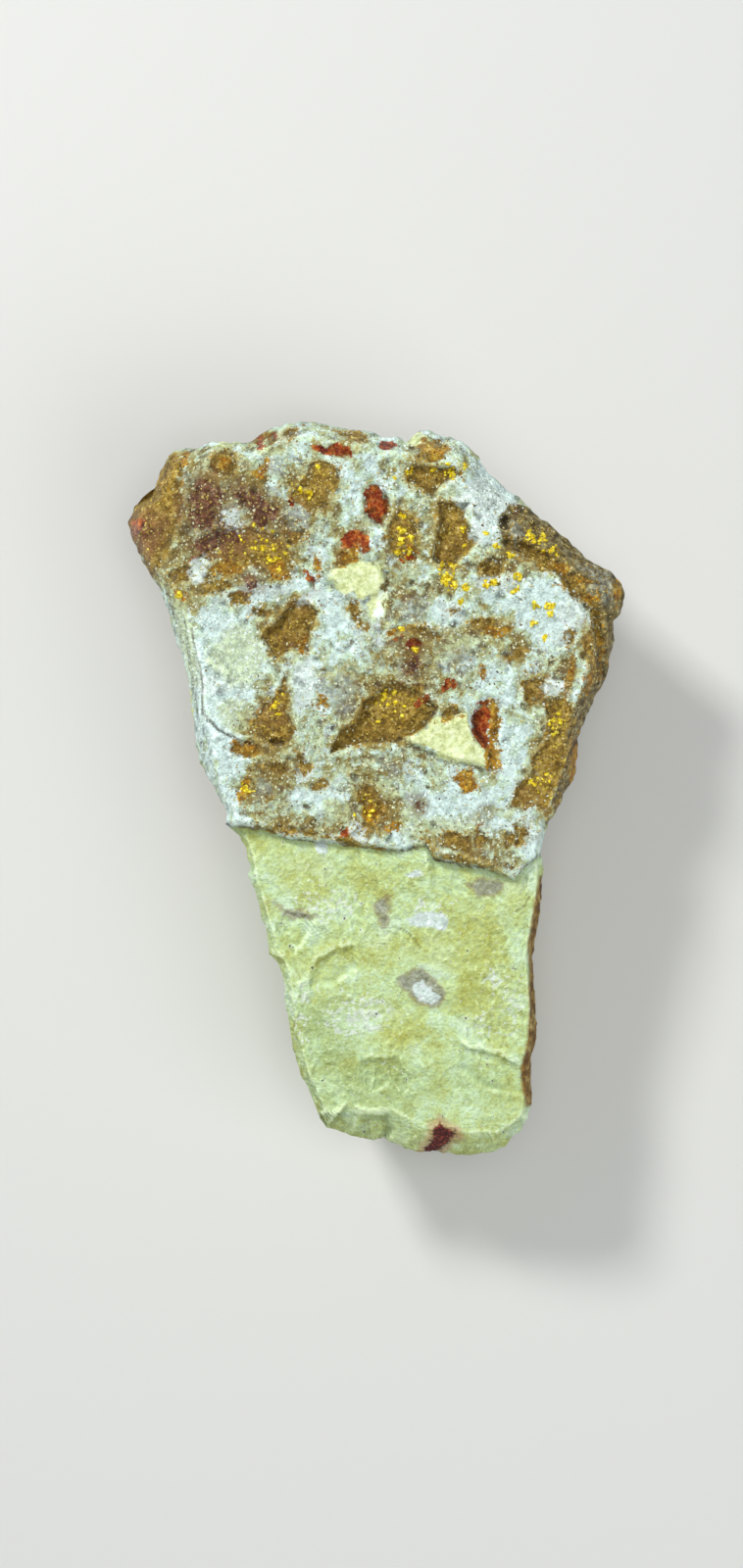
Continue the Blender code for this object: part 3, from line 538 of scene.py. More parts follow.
# Three directions at right angles, none along an axis, that the noise lattice follows.
NOISE_SLANT = np.array(((2, -2, 1), (1, 2, 2), (-2, -1, 2))) / 3


def lattice_noise(points: Array, cell: float, seed: int) -> Array:
    """Smooth noise: values at the corners of a slanting lattice, eased in between.

    Args:
        points: Places, two or three numbers each, in millimetres.
        cell: The lattice's spacing.
        seed: Picks one pattern of many.

    Returns:
        One value from -1 to 1 for each place.
    """
    if points.shape[1] == 2:
        points = np.column_stack([points, np.zeros(len(points))])
    scaled = points @ NOISE_SLANT / cell
    corner = np.floor(scaled).astype(np.int64)
    part = scaled - corner
    ease = part**3 * (part * (part * 6 - 15) + 10)
    total = np.zeros(len(points))
    for offset in itertools.product((0, 1), repeat=3):
        share = np.prod(np.where(np.array(offset) == 1, ease, 1 - ease), axis=1)
        total += share * corner_values(corner + np.array(offset), seed)
    return total


def creased_noise(points: Array, cell: float, seed: int) -> Array:
    """Noise with sharp ridges, from -1 to 1: 1 less twice the size of the plain noise."""
    return 1 - 2 * np.abs(lattice_noise(points, cell, seed))


def layered_noise(points: Array, cell: float, seed: int, layers: int = 3) -> Array:
    """Plain noise plus finer layers, each half as large and half as strong.

    Args:
        points: Places, in millimetres.
        cell: The first layer's spacing.
        seed: Picks one pattern of many.
        layers: How many layers there are.

    Returns:
        One value for each place, mostly from -1 to 1.
    """
    total = np.zeros(len(points))
    for layer in range(layers):
        total += 0.5**layer * lattice_noise(points, cell * 0.5**layer, seed + 31 * layer)
    return total / 1.4


def summed(noise: Callable[..., Array], points: Array, layers: Stations) -> Array:
    """Layers of noise added up, each given by its height, its cell and its seed."""
    return sum(height * noise(points, cell, seed) for height, cell, seed in layers)


def eased(share: Array) -> Array:
    """A smooth rise from 0 to 1: 3 times the share squared less 2 times its cube."""
    share = np.clip(share, 0, 1)
    return share * share * (3 - 2 * share)


def along(run: Array | Outline, share: Array) -> Array:
    """Points at these shares of the length of an open line.

    Args:
        run: The line's points.
        share: Shares of its length, from 0 to 1.

    Returns:
        One point for each share.
    """
    line = np.array(run)
    length = np.r_[0, np.cumsum(np.linalg.norm(np.diff(line, axis=0), axis=1))]
    at = np.asarray(share) * length[-1]
    return np.column_stack([np.interp(at, length, line[:, i]) for i in range(line.shape[1])])


def in_blocks(work: Callable[[Array], Array], points: Array) -> Array:
    """Joins the work's results on a few thousand points at a time, so its tables stay small."""
    blocks = np.array_split(points, max(1, len(points) // BLOCK_LENGTH))
    return np.concatenate([work(block) for block in blocks])


def line_distance(points: Array, line: Array | Outline) -> Array:
    """Distance of each point from an open line, to the nearest place on any stretch.

    Args:
        points: Plan places.
        line: The line's points.

    Returns:
        One distance for each point.
    """
    start = np.array(line)[:-1]
    run = np.diff(np.array(line), axis=0)
    squared = np.maximum((run**2).sum(1), TINY)

    def nearest(block: Array) -> Array:
        """The least distance to any stretch, for some of the points."""
        away = block[:, None, :] - start
        share = np.clip((away * run).sum(2) / squared, 0, 1)
        return np.linalg.norm(away - share[:, :, None] * run, axis=2).min(1)

    return in_blocks(nearest, points)


def ledge(points: Array, line: Outline, reach: float, edge: float) -> Array:
    """A ledge's height as a share: full at the line, sloping away on its left side.

    On the right side it falls to nought within the edge's width. Towards both ends of
    the line the whole ledge fades out.

    Args:
        points: Plan places.
        line: The ledge's line.
        reach: How far back the left side slopes.
        edge: How wide the drop is.

    Returns:
        One share for each point.
    """
    corners = np.array(line)
    starts, ways = corners[:-1], np.diff(corners, axis=0)
    near = (points > corners.min(0) - reach).all(1) & (points < corners.max(0) + reach).all(1)
    offset = points[near, None, :] - starts
    share = np.clip((offset * ways).sum(2) / (ways**2).sum(1), 0, 1)
    gap = offset - share[:, :, None] * ways
    distance = np.hypot(gap[:, :, 0], gap[:, :, 1])
    pick = distance.argmin(1)
    row = np.arange(len(pick))
    side = ways[pick, 0] * gap[row, pick, 1] - ways[pick, 1] * gap[row, pick, 0]
    signed = distance[row, pick] * np.sign(side)
    at = (pick + share[row, pick]) / len(ways)
    height = np.where(signed > 0, eased(1 - signed / reach), eased(1 + signed / edge))
    found = np.zeros(len(points))
    found[near] = height * eased(5 * at) * eased(5 * (1 - at))
    return found


def depth_inside(points: Array, outline: Outline) -> Array:
    """Distance of each point from a closed outline, positive inside it.

    Args:
        points: Plan places.
        outline: The outline's corners.

    Returns:
        One signed distance for each point.
    """
    closed = np.vstack([outline, outline[0]])
    start, end = closed[:-1], closed[1:]
    x, y = points[:, :1], points[:, 1:]
    spans = (start[:, 1] > y) != (end[:, 1] > y)
    rise = np.where(end[:, 1] == start[:, 1], 1.0, end[:, 1] - start[:, 1])
    crossing = start[:, 0] + (y - start[:, 1]) * (end[:, 0] - start[:, 0]) / rise
    inside = (spans & (x < crossing)).sum(1) % 2 == 1
    return np.where(inside, 1, -1) * line_distance(points, closed)


def depth_in_oval(
    plan: Array, across: float, up: float, half_width: float, half_length: float, turn: float = 0
) -> Array:
    """Depth in a turned oval: what is left of its radius, times its smaller half size.

    Args:
        plan: Plan places.
        across: Its centre's place across.
        up: Its centre's place along.
        half_width: Half its width.
        half_length: Half its length.
        turn: Its turn to the left in degrees.

    Returns:
        One depth for each place, positive inside.
    """
    x, y = plan[:, 0] - across, plan[:, 1] - up
    cosine, sine = np.cos(np.radians(turn)), np.sin(np.radians(turn))
    radius = np.hypot((x * cosine + y * sine) / half_width, (y * cosine - x * sine) / half_length)
    return (1 - radius) * min(half_width, half_length)


@dataclass
class StoneShape:
    """The stone's form, the same as its solid's, as functions of places on it."""

    quartz_height: float = 26.0
    wall_rock_drop: float = 1.9
    step_width: float = 1.3
    step_past_contact: float = 0.3
    full_step_within: float = 9.0
    wall_rock_start: float = -6.0
    wall_rock_fall: float = 0.045
    back_rim_height: float = 3.4
    back_rim_reach: float = 6.0
    scar_depth: float = 1.2
    scar_level: float = 0.55
    lump_size: float = 11.0
    lump_height: float = 0.75
    lumps_lost: float = 0.5
    ridge_size: float = 6.5
    ridge_height: float = 0.5
    ridges_lost: float = 0.7
    break_size: float = 7.0
    break_depth: float = 1.9
    ledge_spacing: float = 6.2
    ledge_wander: float = 5.0
    ledge_depth: float = 1.2
    ledge_steepness: float = 3.0
    pit_wall: float = 0.4
    groove_depth: float = 1.5
    groove_half_width: float = 1.3
    corner_slope: float = 0.3
    outline_step: float = 0.4
    smoothing_reach: float = 5.0
    rim_curve: float = 1.15
    side_curve: float = 1.6
    side_top_share: float = 0.12
    back_wander: float = 0.6
    back_samples: int = 60

    def __post_init__(self) -> None:
        """Samples the outline evenly, with its rim's sizes and its inward directions."""
        places, rims = [], []
        runs = (TOP_EDGE, RIGHT_EDGE, BOTTOM_EDGE, LEFT_EDGE)
        for run, stations in zip(runs, (TOP_RIM, RIGHT_RIM, BOTTOM_RIM, LEFT_RIM)):
            length = np.linalg.norm(np.diff(np.array(run), axis=0), axis=1).sum()
            share = np.arange(0, 1, self.outline_step / length)
            places.append(along(run, share))
            at, *sizes = np.array(stations).T
            rims.append(np.column_stack([np.interp(share, at, size) for size in sizes]))
        self.runs = [np.array(run) for run in runs]
        self.edge_places = np.vstack(places)
        self.slope_width, self.drop, self.run_under = np.vstack(rims).T
        self.inward = self.smooth_normals()
        self.under_edges = self.back_edges()

    def smooth_normals(self) -> Array:
        """Directions into the stone, at right angles to the outline once it is evened out.

        Returns:
            One unit vector for each sample of the outline.
        """
        count = int(self.smoothing_reach / self.outline_step)
        shifts = [np.roll(self.edge_places, shift, axis=0) for shift in range(-count, count + 1)]
        even = np.mean(shifts, axis=0)
        forward = np.roll(even, -1, axis=0) - np.roll(even, 1, axis=0)
        inward = np.column_stack([forward[:, 1], -forward[:, 0]])
        return inward / np.linalg.norm(inward, axis=1)[:, None]

    def nearest(self, plan: Array) -> Array:
        """The number of the outline's nearest sample, for each place."""

        def number(block: Array) -> Array:
            """Numbers for some of the places."""
            return np.linalg.norm(block[:, None, :] - self.edge_places, axis=2).argmin(1)

        return in_blocks(number, plan)

    def above_contact(self, plan: Array) -> Array:
        """How far each place is past the contact, on the quartz side of it."""
        contact = np.array(CONTACT)
        return plan[:, 1] - np.interp(plan[:, 0], contact[:, 0], contact[:, 1])

    def plateau_height(self, plan: Array) -> Array:
        """Height of the top before its rim is broken off.

        Two levels joined by an eased step at the contact, plus noise for lumps and
        ridges, less the corner's plane, with each feature, pit and the groove eased in.

        Args:
            plan: Plan places.

        Returns:
            One height for each place.
        """
        x, y = plan.T
        contact = np.array(CONTACT)
        above = self.above_contact(plan)
        share = np.interp(x, contact[:, 0], contact[:, 2])
        share += (1 - share) * eased(-above / self.full_step_within)
        fall = self.wall_rock_fall * np.maximum(self.wall_rock_start - y, 0)
        wall_rock = self.quartz_height - share * self.wall_rock_drop - fall
        quartz_share = eased((above + self.step_past_contact) / self.step_width)
        level = wall_rock + (self.quartz_height - wall_rock) * quartz_share

        lumps = self.lump_height * lattice_noise(plan, self.lump_size, 3)
        ridges = self.ridge_height * creased_noise(plan, self.ridge_size, 4)
        level += lumps * (1 - self.lumps_lost * (1 - quartz_share))
        level += ridges * (1 - self.ridges_lost * (1 - quartz_share))

        (x0, y0), (x1, y1) = CORNER_LINE
        beyond = ((x - x0) * (y1 - y0) - (y - y0) * (x1 - x0)) / np.hypot(x1 - x0, y1 - y0)
        level -= self.corner_slope * np.maximum(beyond, 0)

        for outline, height, edge in RAISED_AND_SUNK:
            level += height * eased(0.5 + depth_inside(plan, outline) / edge)
        for across, up, half_width, half_length, depth in PITS:
            away = np.hypot((x - across) / half_width, (y - up) / half_length)
            level -= depth * eased((1 - away) / self.pit_wall)
        groove = 1 - line_distance(plan, GROOVE) / self.groove_half_width
        return level - self.groove_depth * eased(groove)

    def top_height(self, plan: Array) -> Array:
        """Height of the top: the plateau, less the rim's drop within the rim's width.

        Args:
            plan: Plan places.

        Returns:
            One height for each place.
        """
        nearest = self.nearest(plan)
        away = line_distance(plan, np.vstack(self.runs))
        share = np.clip(1 - away / self.slope_width[nearest], 0, 1)
        return self.plateau_height(plan) - self.drop[nearest] * share**self.rim_curve

    def back_rim(self, plan: Array) -> Array:
        """Height at which the side meets the underside: a mean height times plain noise."""
        return self.back_rim_height * (
            1 + self.back_wander * lattice_noise(plan, self.lump_size, 8)
        )

    def side_break(self, places: Array) -> Array:
        """How far the side stands back: creased lumps, plus sawtooth ledges where eased.

        Args:
            places: Places on the side.

        Returns:
            One distance for each place.
        """
        lumps = (1 - creased_noise(places, self.break_size, 5)) / 2
        wander = self.ledge_wander * lattice_noise(places, 2 * self.break_size, 6)
        share = (places[:, 2] + wander) / self.ledge_spacing % 1.0
        ledges = 1 - np.minimum(share, (1 - share) * self.ledge_steepness)
        ledges *= eased(0.5 + lattice_noise(places, 2 * self.break_size, 7))
        return self.break_depth * lumps + self.ledge_depth * ledges

    def side_places(self, edge: Array, depth: Array) -> tuple[Array, Array]:
        """Places on the side: the outline carried down and inwards, less the breaks.

        Args:
            edge: Plan places on the outline.
            depth: Shares of the way down the side.

        Returns:
            The places, and the directions into the stone there.
        """
        nearest = self.nearest(edge)
        inward = self.inward[nearest]
        plan = edge + inward * (self.run_under[nearest] * depth**self.side_curve)[:, None]
        level = self.top_height(edge)
        places = np.column_stack([plan, level + (self.back_rim(plan) - level) * depth])
        stands_back = self.side_break(places) * eased(depth / self.side_top_share)
        places[:, :2] += inward * stands_back[:, None]
        return places, inward

    def back_edges(self) -> list[Array]:
        """The underside's four edges in plan, where the broken sides come down to it.

        Returns:
            Four lines that share their corners.
        """
        edges = []
        for run in self.runs:
            line = along(run, np.linspace(0, 1, self.back_samples))
            places, _ = self.side_places(line, np.ones(self.back_samples))
            edges.append(places[:, :2])
        ends = [(edges[i - 1][-1] + edges[i][0]) / 2 for i in range(4)]
        for i in range(4):
            edges[i][0] = ends[i]
            edges[i][-1] = ends[(i + 1) % 4]
        return edges

    def back_height(self, plan: Array) -> Array:
        """Height of the underside: down from its rim to a flat face with a few hollows.

        Args:
            plan: Plan places.

        Returns:
            One height for each place.
        """
        reach = self.back_rim_reach * (
            1 + self.back_wander * lattice_noise(plan, self.lump_size, 9)
        )
        share = np.clip(1 - line_distance(plan, np.vstack(self.under_edges)) / reach, 0, 1)
        hollows = creased_noise(plan, self.lump_size, 10) - self.scar_level
        hollows = self.scar_depth * np.maximum(hollows, 0)
        return self.back_rim(plan) * share + (1 - share) * hollows


def filled(across: Array, up: Array, edges: list[Array]) -> Array:
    """Plan places inside four edges, by blending opposite edges (a Coons patch).

    Args:
        across: Shares of the way from the left edge to the right.
        up: Shares of the way from the bottom edge to the top.
        edges: The top, right, bottom and left edges, clockwise.

    Returns:
        One place for each pair of shares.
    """
    top, right, bottom, left = edges
    s, t = across[:, None], up[:, None]
    sides = (1 - s) * along(left, up) + s * along(right, 1 - up)
    ends = (1 - t) * along(bottom, 1 - across) + t * along(top, across)
    low = (1 - s) * (1 - t) * left[0] + s * (1 - t) * right[-1]
    high = (1 - s) * t * left[-1] + s * t * right[0]
    return sides + ends - low - high


def on_edges(across: Array, up: Array, edges: list[Array]) -> Array:
    """Plan places on four edges.

    Args:
        across: Shares of the way across, 0 on the left edge and 1 on the right.
        up: Shares of the way up, 0 on the bottom edge and 1 on the top.
        edges: The top, right, bottom and left edges, clockwise.

    Returns:
        One place for each pair of shares.
    """
    top, right, bottom, left = edges
    place = along(left, up)
    for chosen, run, share in (
        (across >= 1, right, 1 - up),
        (up >= 1, top, across),
        (up <= 0, bottom, 1 - across),
    ):
        place = np.where(chosen[:, None], along(run, share), place)
    return place


@dataclass
class StoneMarks:
    """Where each mineral lies on the surface, and the fine relief that goes with it.

    Fields of type Stations are layers of noise: height, cell and seed.
    """

    shape: StoneShape
    fade_down_side: float = 0.45
    deepest: float = 3.0
    broad_wander: float = 1.1
    broad_cell: float = 4.6
    fine_wander: float = 0.5
    fine_cell: float = 1.5
    outline_wander: float = 0.4
    scattered_slope: float = 2.2
    scattered_below: float = 3.0
    scattered_gap: float = 2.0
    wall_rock_gap: float = 3.0
    contact_wander: float = 0.25
    deep_contact_wander: float = 1.4
    deep_contact_below: float = 4.0
    contact_lean: float = 0.12
    # Rust on the sides below the seen face, less on the left: partly real rust, partly painted
    # shade on the right-hand sides.
    rust_below: float = 1.6
    rust_limit: float = 0.8
    rust_noise: float = 2.6
    rust_noise_below: float = 3.0
    rust_and_shade_loss_left: float = 1.6
    rust_and_shade_from: float = 4.0
    rust_and_shade_fade: float = 6.0
    strip_slope: float = 4.0
    strip_wander: float = 0.25
    crack_half_width: float = 0.1
    crack_wander: float = 0.3
    contact_width: float = 0.6
    creases: Stations = ((0.26, 2.9, 81), (0.17, 1.5, 82))
    grains: Stations = ((0.12, 0.8, 83), (0.09, 0.5, 84))
    pit_depth: float = 0.3
    pit_cell: float = 1.4
    pit_level: float = 0.6
    pit_wall: float = 0.2
    stain_edge: float = 0.35
    stain_heights: tuple[tuple[Mineral, float], ...] = (
        (Mineral.TAN, -0.36),
        (Mineral.RED, -0.2),
        (Mineral.CLAY, 0.2),
        (Mineral.AMBER, -0.12),
    )
    clay_smoothness: float = 0.85
    tan_smoothness: float = 0.45
    terrace_cell: float = 7.0
    terraces: float = 3.5
    terrace_height: float = 0.14
    terrace_wall: float = 0.12
    swells: Stations = ((0.12, 2.6, 87),)
    wrinkles: Stations = ((0.09, 1.3, 89), (0.081, 0.75, 90))
    wrinkled_share: float = 0.7
    fleck_height: float = 0.09
    ledge_edge: float = 0.3
    crack_edge: float = 0.3
    crack_in_wall_rock: float = 0.12
    crack_in_quartz: float = 0.4

    def warped(self, plan: Array, share: float) -> Array:
        """Plan places moved by noise at two scales, so that a patch's edge wanders.

        Args:
            plan: Plan places.
            share: How much of the full wander they get.

        Returns:
            The moved places.
        """
        broad = [lattice_noise(plan, self.broad_cell, seed) for seed in (41, 42)]
        fine = [layered_noise(plan, self.fine_cell, seed, 2) for seed in (43, 44)]
        shift = self.broad_wander * np.array(broad) + self.fine_wander * np.array(fine)
        return plan + share * shift.T

    def depth_in(self, mineral: Mineral, loose: Array, firm: Array) -> Array:
        """Depth in the nearest of a mineral's patches: the greatest over all of them.

        Args:
            mineral: Which mineral.
            loose: Plan places as the ovals see them.
            firm: Plan places as the traced outlines see them.

        Returns:
            One depth for each place, held within the deepest.
        """
        depth = np.full(len(loose), -self.deepest)
        for oval in PATCHES.get(mineral, ()):
            depth = np.maximum(depth, depth_in_oval(loose, *oval))
        for outline in PATCH_OUTLINES.get(mineral, ()):
            depth = np.maximum(depth, depth_inside(firm, outline))
        return np.clip(depth, -self.deepest, self.deepest)

    def scattered(self, mineral: Mineral, places: Array) -> Array:
        """Depth in scattered patches that the seen face doesn't set: noise over a level."""
        cell, level, seed = SCATTERED[mineral]
        return self.scattered_slope * (layered_noise(places, cell, seed) - level)

    def rust(self, places: Array, below: Array) -> Array:
        """Depth in the rust: noise below the seen face, less on the left, and the strip. The rust
        is partly painted shade on the right-hand sides.

        Args:
            places: Places on the surface.
            below: How far each place is under the seen face.

        Returns:
            One depth for each place.
        """
        plan = places[:, :2]
        rust = np.minimum(below - self.rust_below, self.rust_limit)
        noise = self.rust_noise * layered_noise(places, 6.0, 73)
        rust += eased(below / self.rust_noise_below) * noise
        # Less rust on the left, so the left sides stay cream and the right-hand sides carry
        # painted shade.
        rust -= self.rust_and_shade_loss_left * eased((self.rust_and_shade_from - plan[:, 0]) / self.rust_and_shade_fade)
        strip = self.strip_slope * depth_inside(self.warped(plan, self.strip_wander), SIDE_STRIP)
        return np.clip(np.maximum(rust, strip), -self.deepest, self.deepest)

    def depths(self, places: Array, below: Array) -> dict[str, Array]:
        """Every number that the material reads: the minerals, wall rock, rust with painted shade,
        and cracks.

        A mineral's depth is that of the seen face's patches, and scattered ones away
        from it. The contact leans and wanders lower down.

        Args:
            places: Places on the surface.
            below: How far each place is under the seen face.

        Returns:
            One array for each name.
        """
        plan = places[:, :2]
        wander = self.contact_wander * layered_noise(places, 1.6, 71, 2)
        deep_wander = self.deep_contact_wander * layered_noise(places, 7.0, 72)
        wander += eased(below / self.deep_contact_below) * deep_wander
        wall = wander - self.shape.above_contact(plan) - self.contact_lean * below
        found = {"wall_rock": wall}
        near_face = self.scattered_gap * eased(1 - below / self.scattered_below)
        loose, firm = (self.warped(plan, share) for share in (1.0, self.outline_wander))
        for mineral in Mineral:
            seen = self.depth_in(mineral, loose, firm) - self.fade_down_side * below
            away = self.scattered(mineral, places) - near_face
            if mineral in (Mineral.WHITE, Mineral.GREY, Mineral.MAROON):
                away -= self.wall_rock_gap * eased(0.5 + wall)
            found[mineral.value] = np.maximum(seen, away)
        found["rust"] = self.rust(places, below)
        moved = self.warped(plan, self.crack_wander)
        cracks = np.min([line_distance(moved, crack) for crack in CRACKS], axis=0)
        found["crack"] = self.crack_half_width - cracks - below
        found["below_face"] = below
        return found

    def quartz_relief(self, places: Array, depths: dict[str, Array], crack: Array) -> Array:
        """Creased noise, grains and pits, smoother on clay, with stains sunk in and cracks.

        Args:
            places: Places on the surface.
            depths: The numbers for each place.
            crack: The share of a crack at each place.

        Returns:
            One height for each place.
        """
        rough = summed(creased_noise, places, self.creases)
        rough += summed(lattice_noise, places, self.grains)
        hollow = (lattice_noise(places, self.pit_cell, 85) - self.pit_level) / self.pit_wall
        rough -= self.pit_depth * eased(hollow)
        stained = {
            mineral: eased(0.5 + depths[mineral.value] / self.stain_edge)
            for mineral, _ in self.stain_heights
        }
        rough *= 1 - self.clay_smoothness * stained[Mineral.CLAY]
        rough *= 1 - self.tan_smoothness * stained[Mineral.TAN]
        for mineral, height in self.stain_heights:
            rough += height * stained[mineral]
        return rough - self.crack_in_quartz * crack

    def wall_rock_relief(self, places: Array, depths: dict[str, Array], crack: Array) -> Array:
        """Noise in eased terraces, wrinkles, flecks, the traced ledges and cracks.

        Args:
            places: Places on the surface.
            depths: The numbers for each place.
            crack: The share of a crack at each place.

        Returns:
            One height for each place.
        """
        levels = self.terraces * layered_noise(places, self.terrace_cell, 86)
        steps = np.floor(levels) + eased(levels % 1.0 / self.terrace_wall)
        height = self.terrace_height * steps + summed(layered_noise, places, self.swells)
        wrinkled = eased(self.wrinkled_share + lattice_noise(places, 8.0, 91))
        height += summed(creased_noise, places, self.wrinkles) * wrinkled
        flecks = eased(0.5 + depths[Mineral.FLECKS.value] / 2)
        height += self.fleck_height * flecks * creased_noise(places, 0.9, 92)
        firm = self.warped(places[:, :2], self.outline_wander)
        seen = eased(1 - depths["below_face"])
        for line, drop, reach in LEDGES:
            height += seen * drop * ledge(firm, line, reach, self.ledge_edge)
        return height - self.crack_in_wall_rock * crack

    def fine_relief(self, places: Array, depths: dict[str, Array]) -> Array:
        """Small heights on the quartz and on the wall rock, blended at the contact.

        Args:
            places: Places on the surface.
            depths: The numbers for each place.

        Returns:
            One height for each place.
        """
        quartz = eased(0.5 - depths["wall_rock"] / self.contact_width)
        crack = eased(0.5 + depths["crack"] / self.crack_edge)
        on_quartz = self.quartz_relief(places, depths, crack)
        on_wall_rock = self.wall_rock_relief(places, depths, crack)
        return quartz * on_quartz + (1 - quartz) * on_wall_rock


@dataclass
class StoneSkin:
    """The stone's whole surface: a fine top, then coarser sides and underside."""

    shape: StoneShape
    marks: StoneMarks
    cells_across: int = 204
    cells_up: int = 296
    fine_rows: int = 2
    ragged_rows: int = 8
    side_rows: int = 36
    upright_rows: int = 3
    side_relief_lost: float = 0.3
    rim_noise: Stations = ((0.16, 1.1, 96), (0.10, 0.6, 97))
    # How the painted shade and highlight are worked out: the reach of the mean round each point,
    # the share and start used off the top, and the limits.
    shade_reach: int = 2
    shade_off_top: float = 0.4
    shade_start: float = 0.1
    shade_span: Span = (-0.3, 0.25)
    name: str = "stone_surface"

    def grid_shares(self, cells_across: int, cells_up: int) -> tuple[Array, Array]:
        """Shares across and up for each point of a grid with this many cells, row by row."""
        up, across = np.meshgrid(
            np.linspace(0, 1, cells_up + 1), np.linspace(0, 1, cells_across + 1), indexing="ij"
        )
        return across.ravel(), up.ravel()

    def numbered(self, cells_across: int, cells_up: int) -> Array:
        """Numbers of a grid's points in rows, from the bottom left corner."""
        return np.arange((cells_across + 1) * (cells_up + 1)).reshape(cells_up + 1, -1)

    def loop(self, numbers: Array) -> Array:
        """A grid's edge points, anticlockwise from its first corner."""
        edges = (numbers[0, :-1], numbers[:-1, -1], numbers[-1, :0:-1], numbers[:0:-1, 0])
        return np.concatenate(edges)

    def grid_faces(self, numbers: Array) -> Array:
        """Faces of a grid that faces up, four point numbers each."""
        corners = (numbers[:-1, :-1], numbers[:-1, 1:], numbers[1:, 1:], numbers[1:, :-1])
        return np.stack([corner.ravel() for corner in corners], axis=1)

    def build(self) -> bpy.types.Object:
        """Works out every point, joins the rings and grids, and makes the object.

        Returns:
            The finished surface.
        """
        half_across, half_up = self.cells_across // 2, self.cells_up // 2
        across, up = self.grid_shares(self.cells_across, self.cells_up)
        plan = filled(across, up, self.shape.runs)
        top = np.column_stack([plan, self.shape.top_height(plan)])
        numbers = self.numbered(self.cells_across, self.cells_up)
        ring = self.loop(numbers)

        points, belows = [top], [np.zeros(len(top))]
        ways = [np.tile((0.0, 0.0, 1.0), (len(top), 1))]
        rings, inwards = [ring], []
        count = len(top)
        for row in range(1, self.side_rows):
            chosen = ring if row <= self.fine_rows else ring[::2]
            depth = np.full(len(chosen), row / self.side_rows)
            edge = on_edges(across[chosen], up[chosen], self.shape.runs)
            places, inward = self.shape.side_places(edge, depth)
            fade = eased(depth * self.side_rows / self.upright_rows)
            if row <= self.ragged_rows:
                inwards.append(inward)
            points.append(places)
            ways.append(np.column_stack([-inward * fade[:, None], np.zeros(len(chosen))]))
            belows.append(top[chosen, 2] - places[:, 2])
            rings.append(count + np.arange(len(chosen)))
            count += len(chosen)

        across, up = self.grid_shares(half_across, half_up)
        plan = filled(across, up, self.shape.under_edges)
        under = np.column_stack([plan, self.shape.back_height(plan)])
        points.append(under)
        ways.append(np.tile((0.0, 0.0, -1.0), (len(under), 1)))
        belows.append(self.shape.quartz_height - under[:, 2])
        under_numbers = count + self.numbered(half_across, half_up)
        rings.append(self.loop(under_numbers))

        places, way, below = np.vstack(points), np.vstack(ways), np.concatenate(belows)
        centre = (places.min(0) + places.max(0)) / 2
        self.offset = np.array((centre[0], centre[1], places[:, 2].min()))

        depths = self.marks.depths(places, below)
        relief = self.marks.fine_relief(places, depths)
        inside = np.minimum(relief - self.side_relief_lost, 0)
        outwards = np.where(way[:, 2] > 0, relief, inside)
        places = places + way * outwards[:, None]
        places[:, :2] += self.ragged_rim(places, rings, inwards)
        # Painted shade and highlight: how far each point stands above its neighbours, darker in
        # hollows and lighter on crests.
        depths["relief_shade"] = self.relief_shade(places[: len(top), 2], relief)

        grids = self.grid_faces(numbers), self.grid_faces(under_numbers)[:, ::-1]
        mesh = bpy.data.meshes.new(self.name)
        mesh.from_pydata((places - self.offset) * MM, [], self.faces(rings, grids))
        for name, values in depths.items():
            self.add_field(mesh, name, values)
        mesh.shade_smooth()
        return linked(self.name, mesh)

    def faces(self, rings: list[Array], grids: tuple[Array, Array]) -> list[list[int]]:
        """Faces of the top, the side and the underside.

        Rings with the same number of points are joined by four-sided faces. Below the
        fine rows a ring has half as many, and three triangles join each of its stretches.

        Args:
            rings: The numbers of each ring's points, from the rim down.
            grids: The faces of the top and of the underside.

        Returns:
            The point numbers of each face.
        """
        quads, triangles = [grids[0]], []
        for upper, lower in zip(rings[:-1], rings[1:]):
            after = np.roll(lower, -1)
            if len(upper) == len(lower):
                quads.append(np.stack([upper, lower, after, np.roll(upper, -1)], axis=1))
                continue
            first, middle, last = upper[::2], upper[1::2], np.roll(upper[::2], -1)
            corners = (first, lower, middle), (middle, lower, after), (middle, after, last)
            triangles += [np.stack(three, axis=1) for three in corners]
        return np.vstack([*quads, grids[1]]).tolist() + np.vstack(triangles).tolist()

    def ragged_rim(self, places: Array, rings: list[Array], inwards: list[Array]) -> Array:
        """Moves the rim in and out by fine noise, and each row below it a little less.

        Args:
            places: Every point.
            rings: The numbers of each ring's points, the rim first.
            inwards: The directions into the stone for the rings below the rim.

        Returns:
            A plan shift for each point, nought away from the rim.
        """
        shift = np.zeros((len(places), 2))
        for row, (ring, inward) in enumerate(zip(rings, [inwards[0], *inwards])):
            amount = summed(lattice_noise, places[ring], self.rim_noise)
            amount *= 1 - row / (self.ragged_rows + 1)
            shift[ring] = -inward * amount[:, None]
        return shift

    def relief_shade(self, heights: Array, relief: Array) -> Array:
        """How far each place stands above the mean round it, for painted shade: lighter above 0,
        darker below 0.

        Args:
            heights: Heights of the top grid's points.
            relief: The fine relief of every point, used off the top.

        Returns:
            One value for each point, in millimetres.
        """
        grid = heights.reshape(self.cells_up + 1, self.cells_across + 1)
        mean = np.zeros_like(grid)
        reach = range(-self.shade_reach, self.shade_reach + 1)
        padded = np.pad(grid, self.shade_reach, mode="reflect", reflect_type="odd")
        for down, right in itertools.product(reach, reach):
            at = self.shade_reach + down, self.shade_reach + right
            mean += padded[at[0] : at[0] + grid.shape[0], at[1] : at[1] + grid.shape[1]]
        high = grid - mean / len(reach) ** 2
        off_top = self.shade_off_top * (relief[grid.size :] + self.shade_start)
        return np.clip(np.concatenate([high.ravel(), off_top]), *self.shade_span)

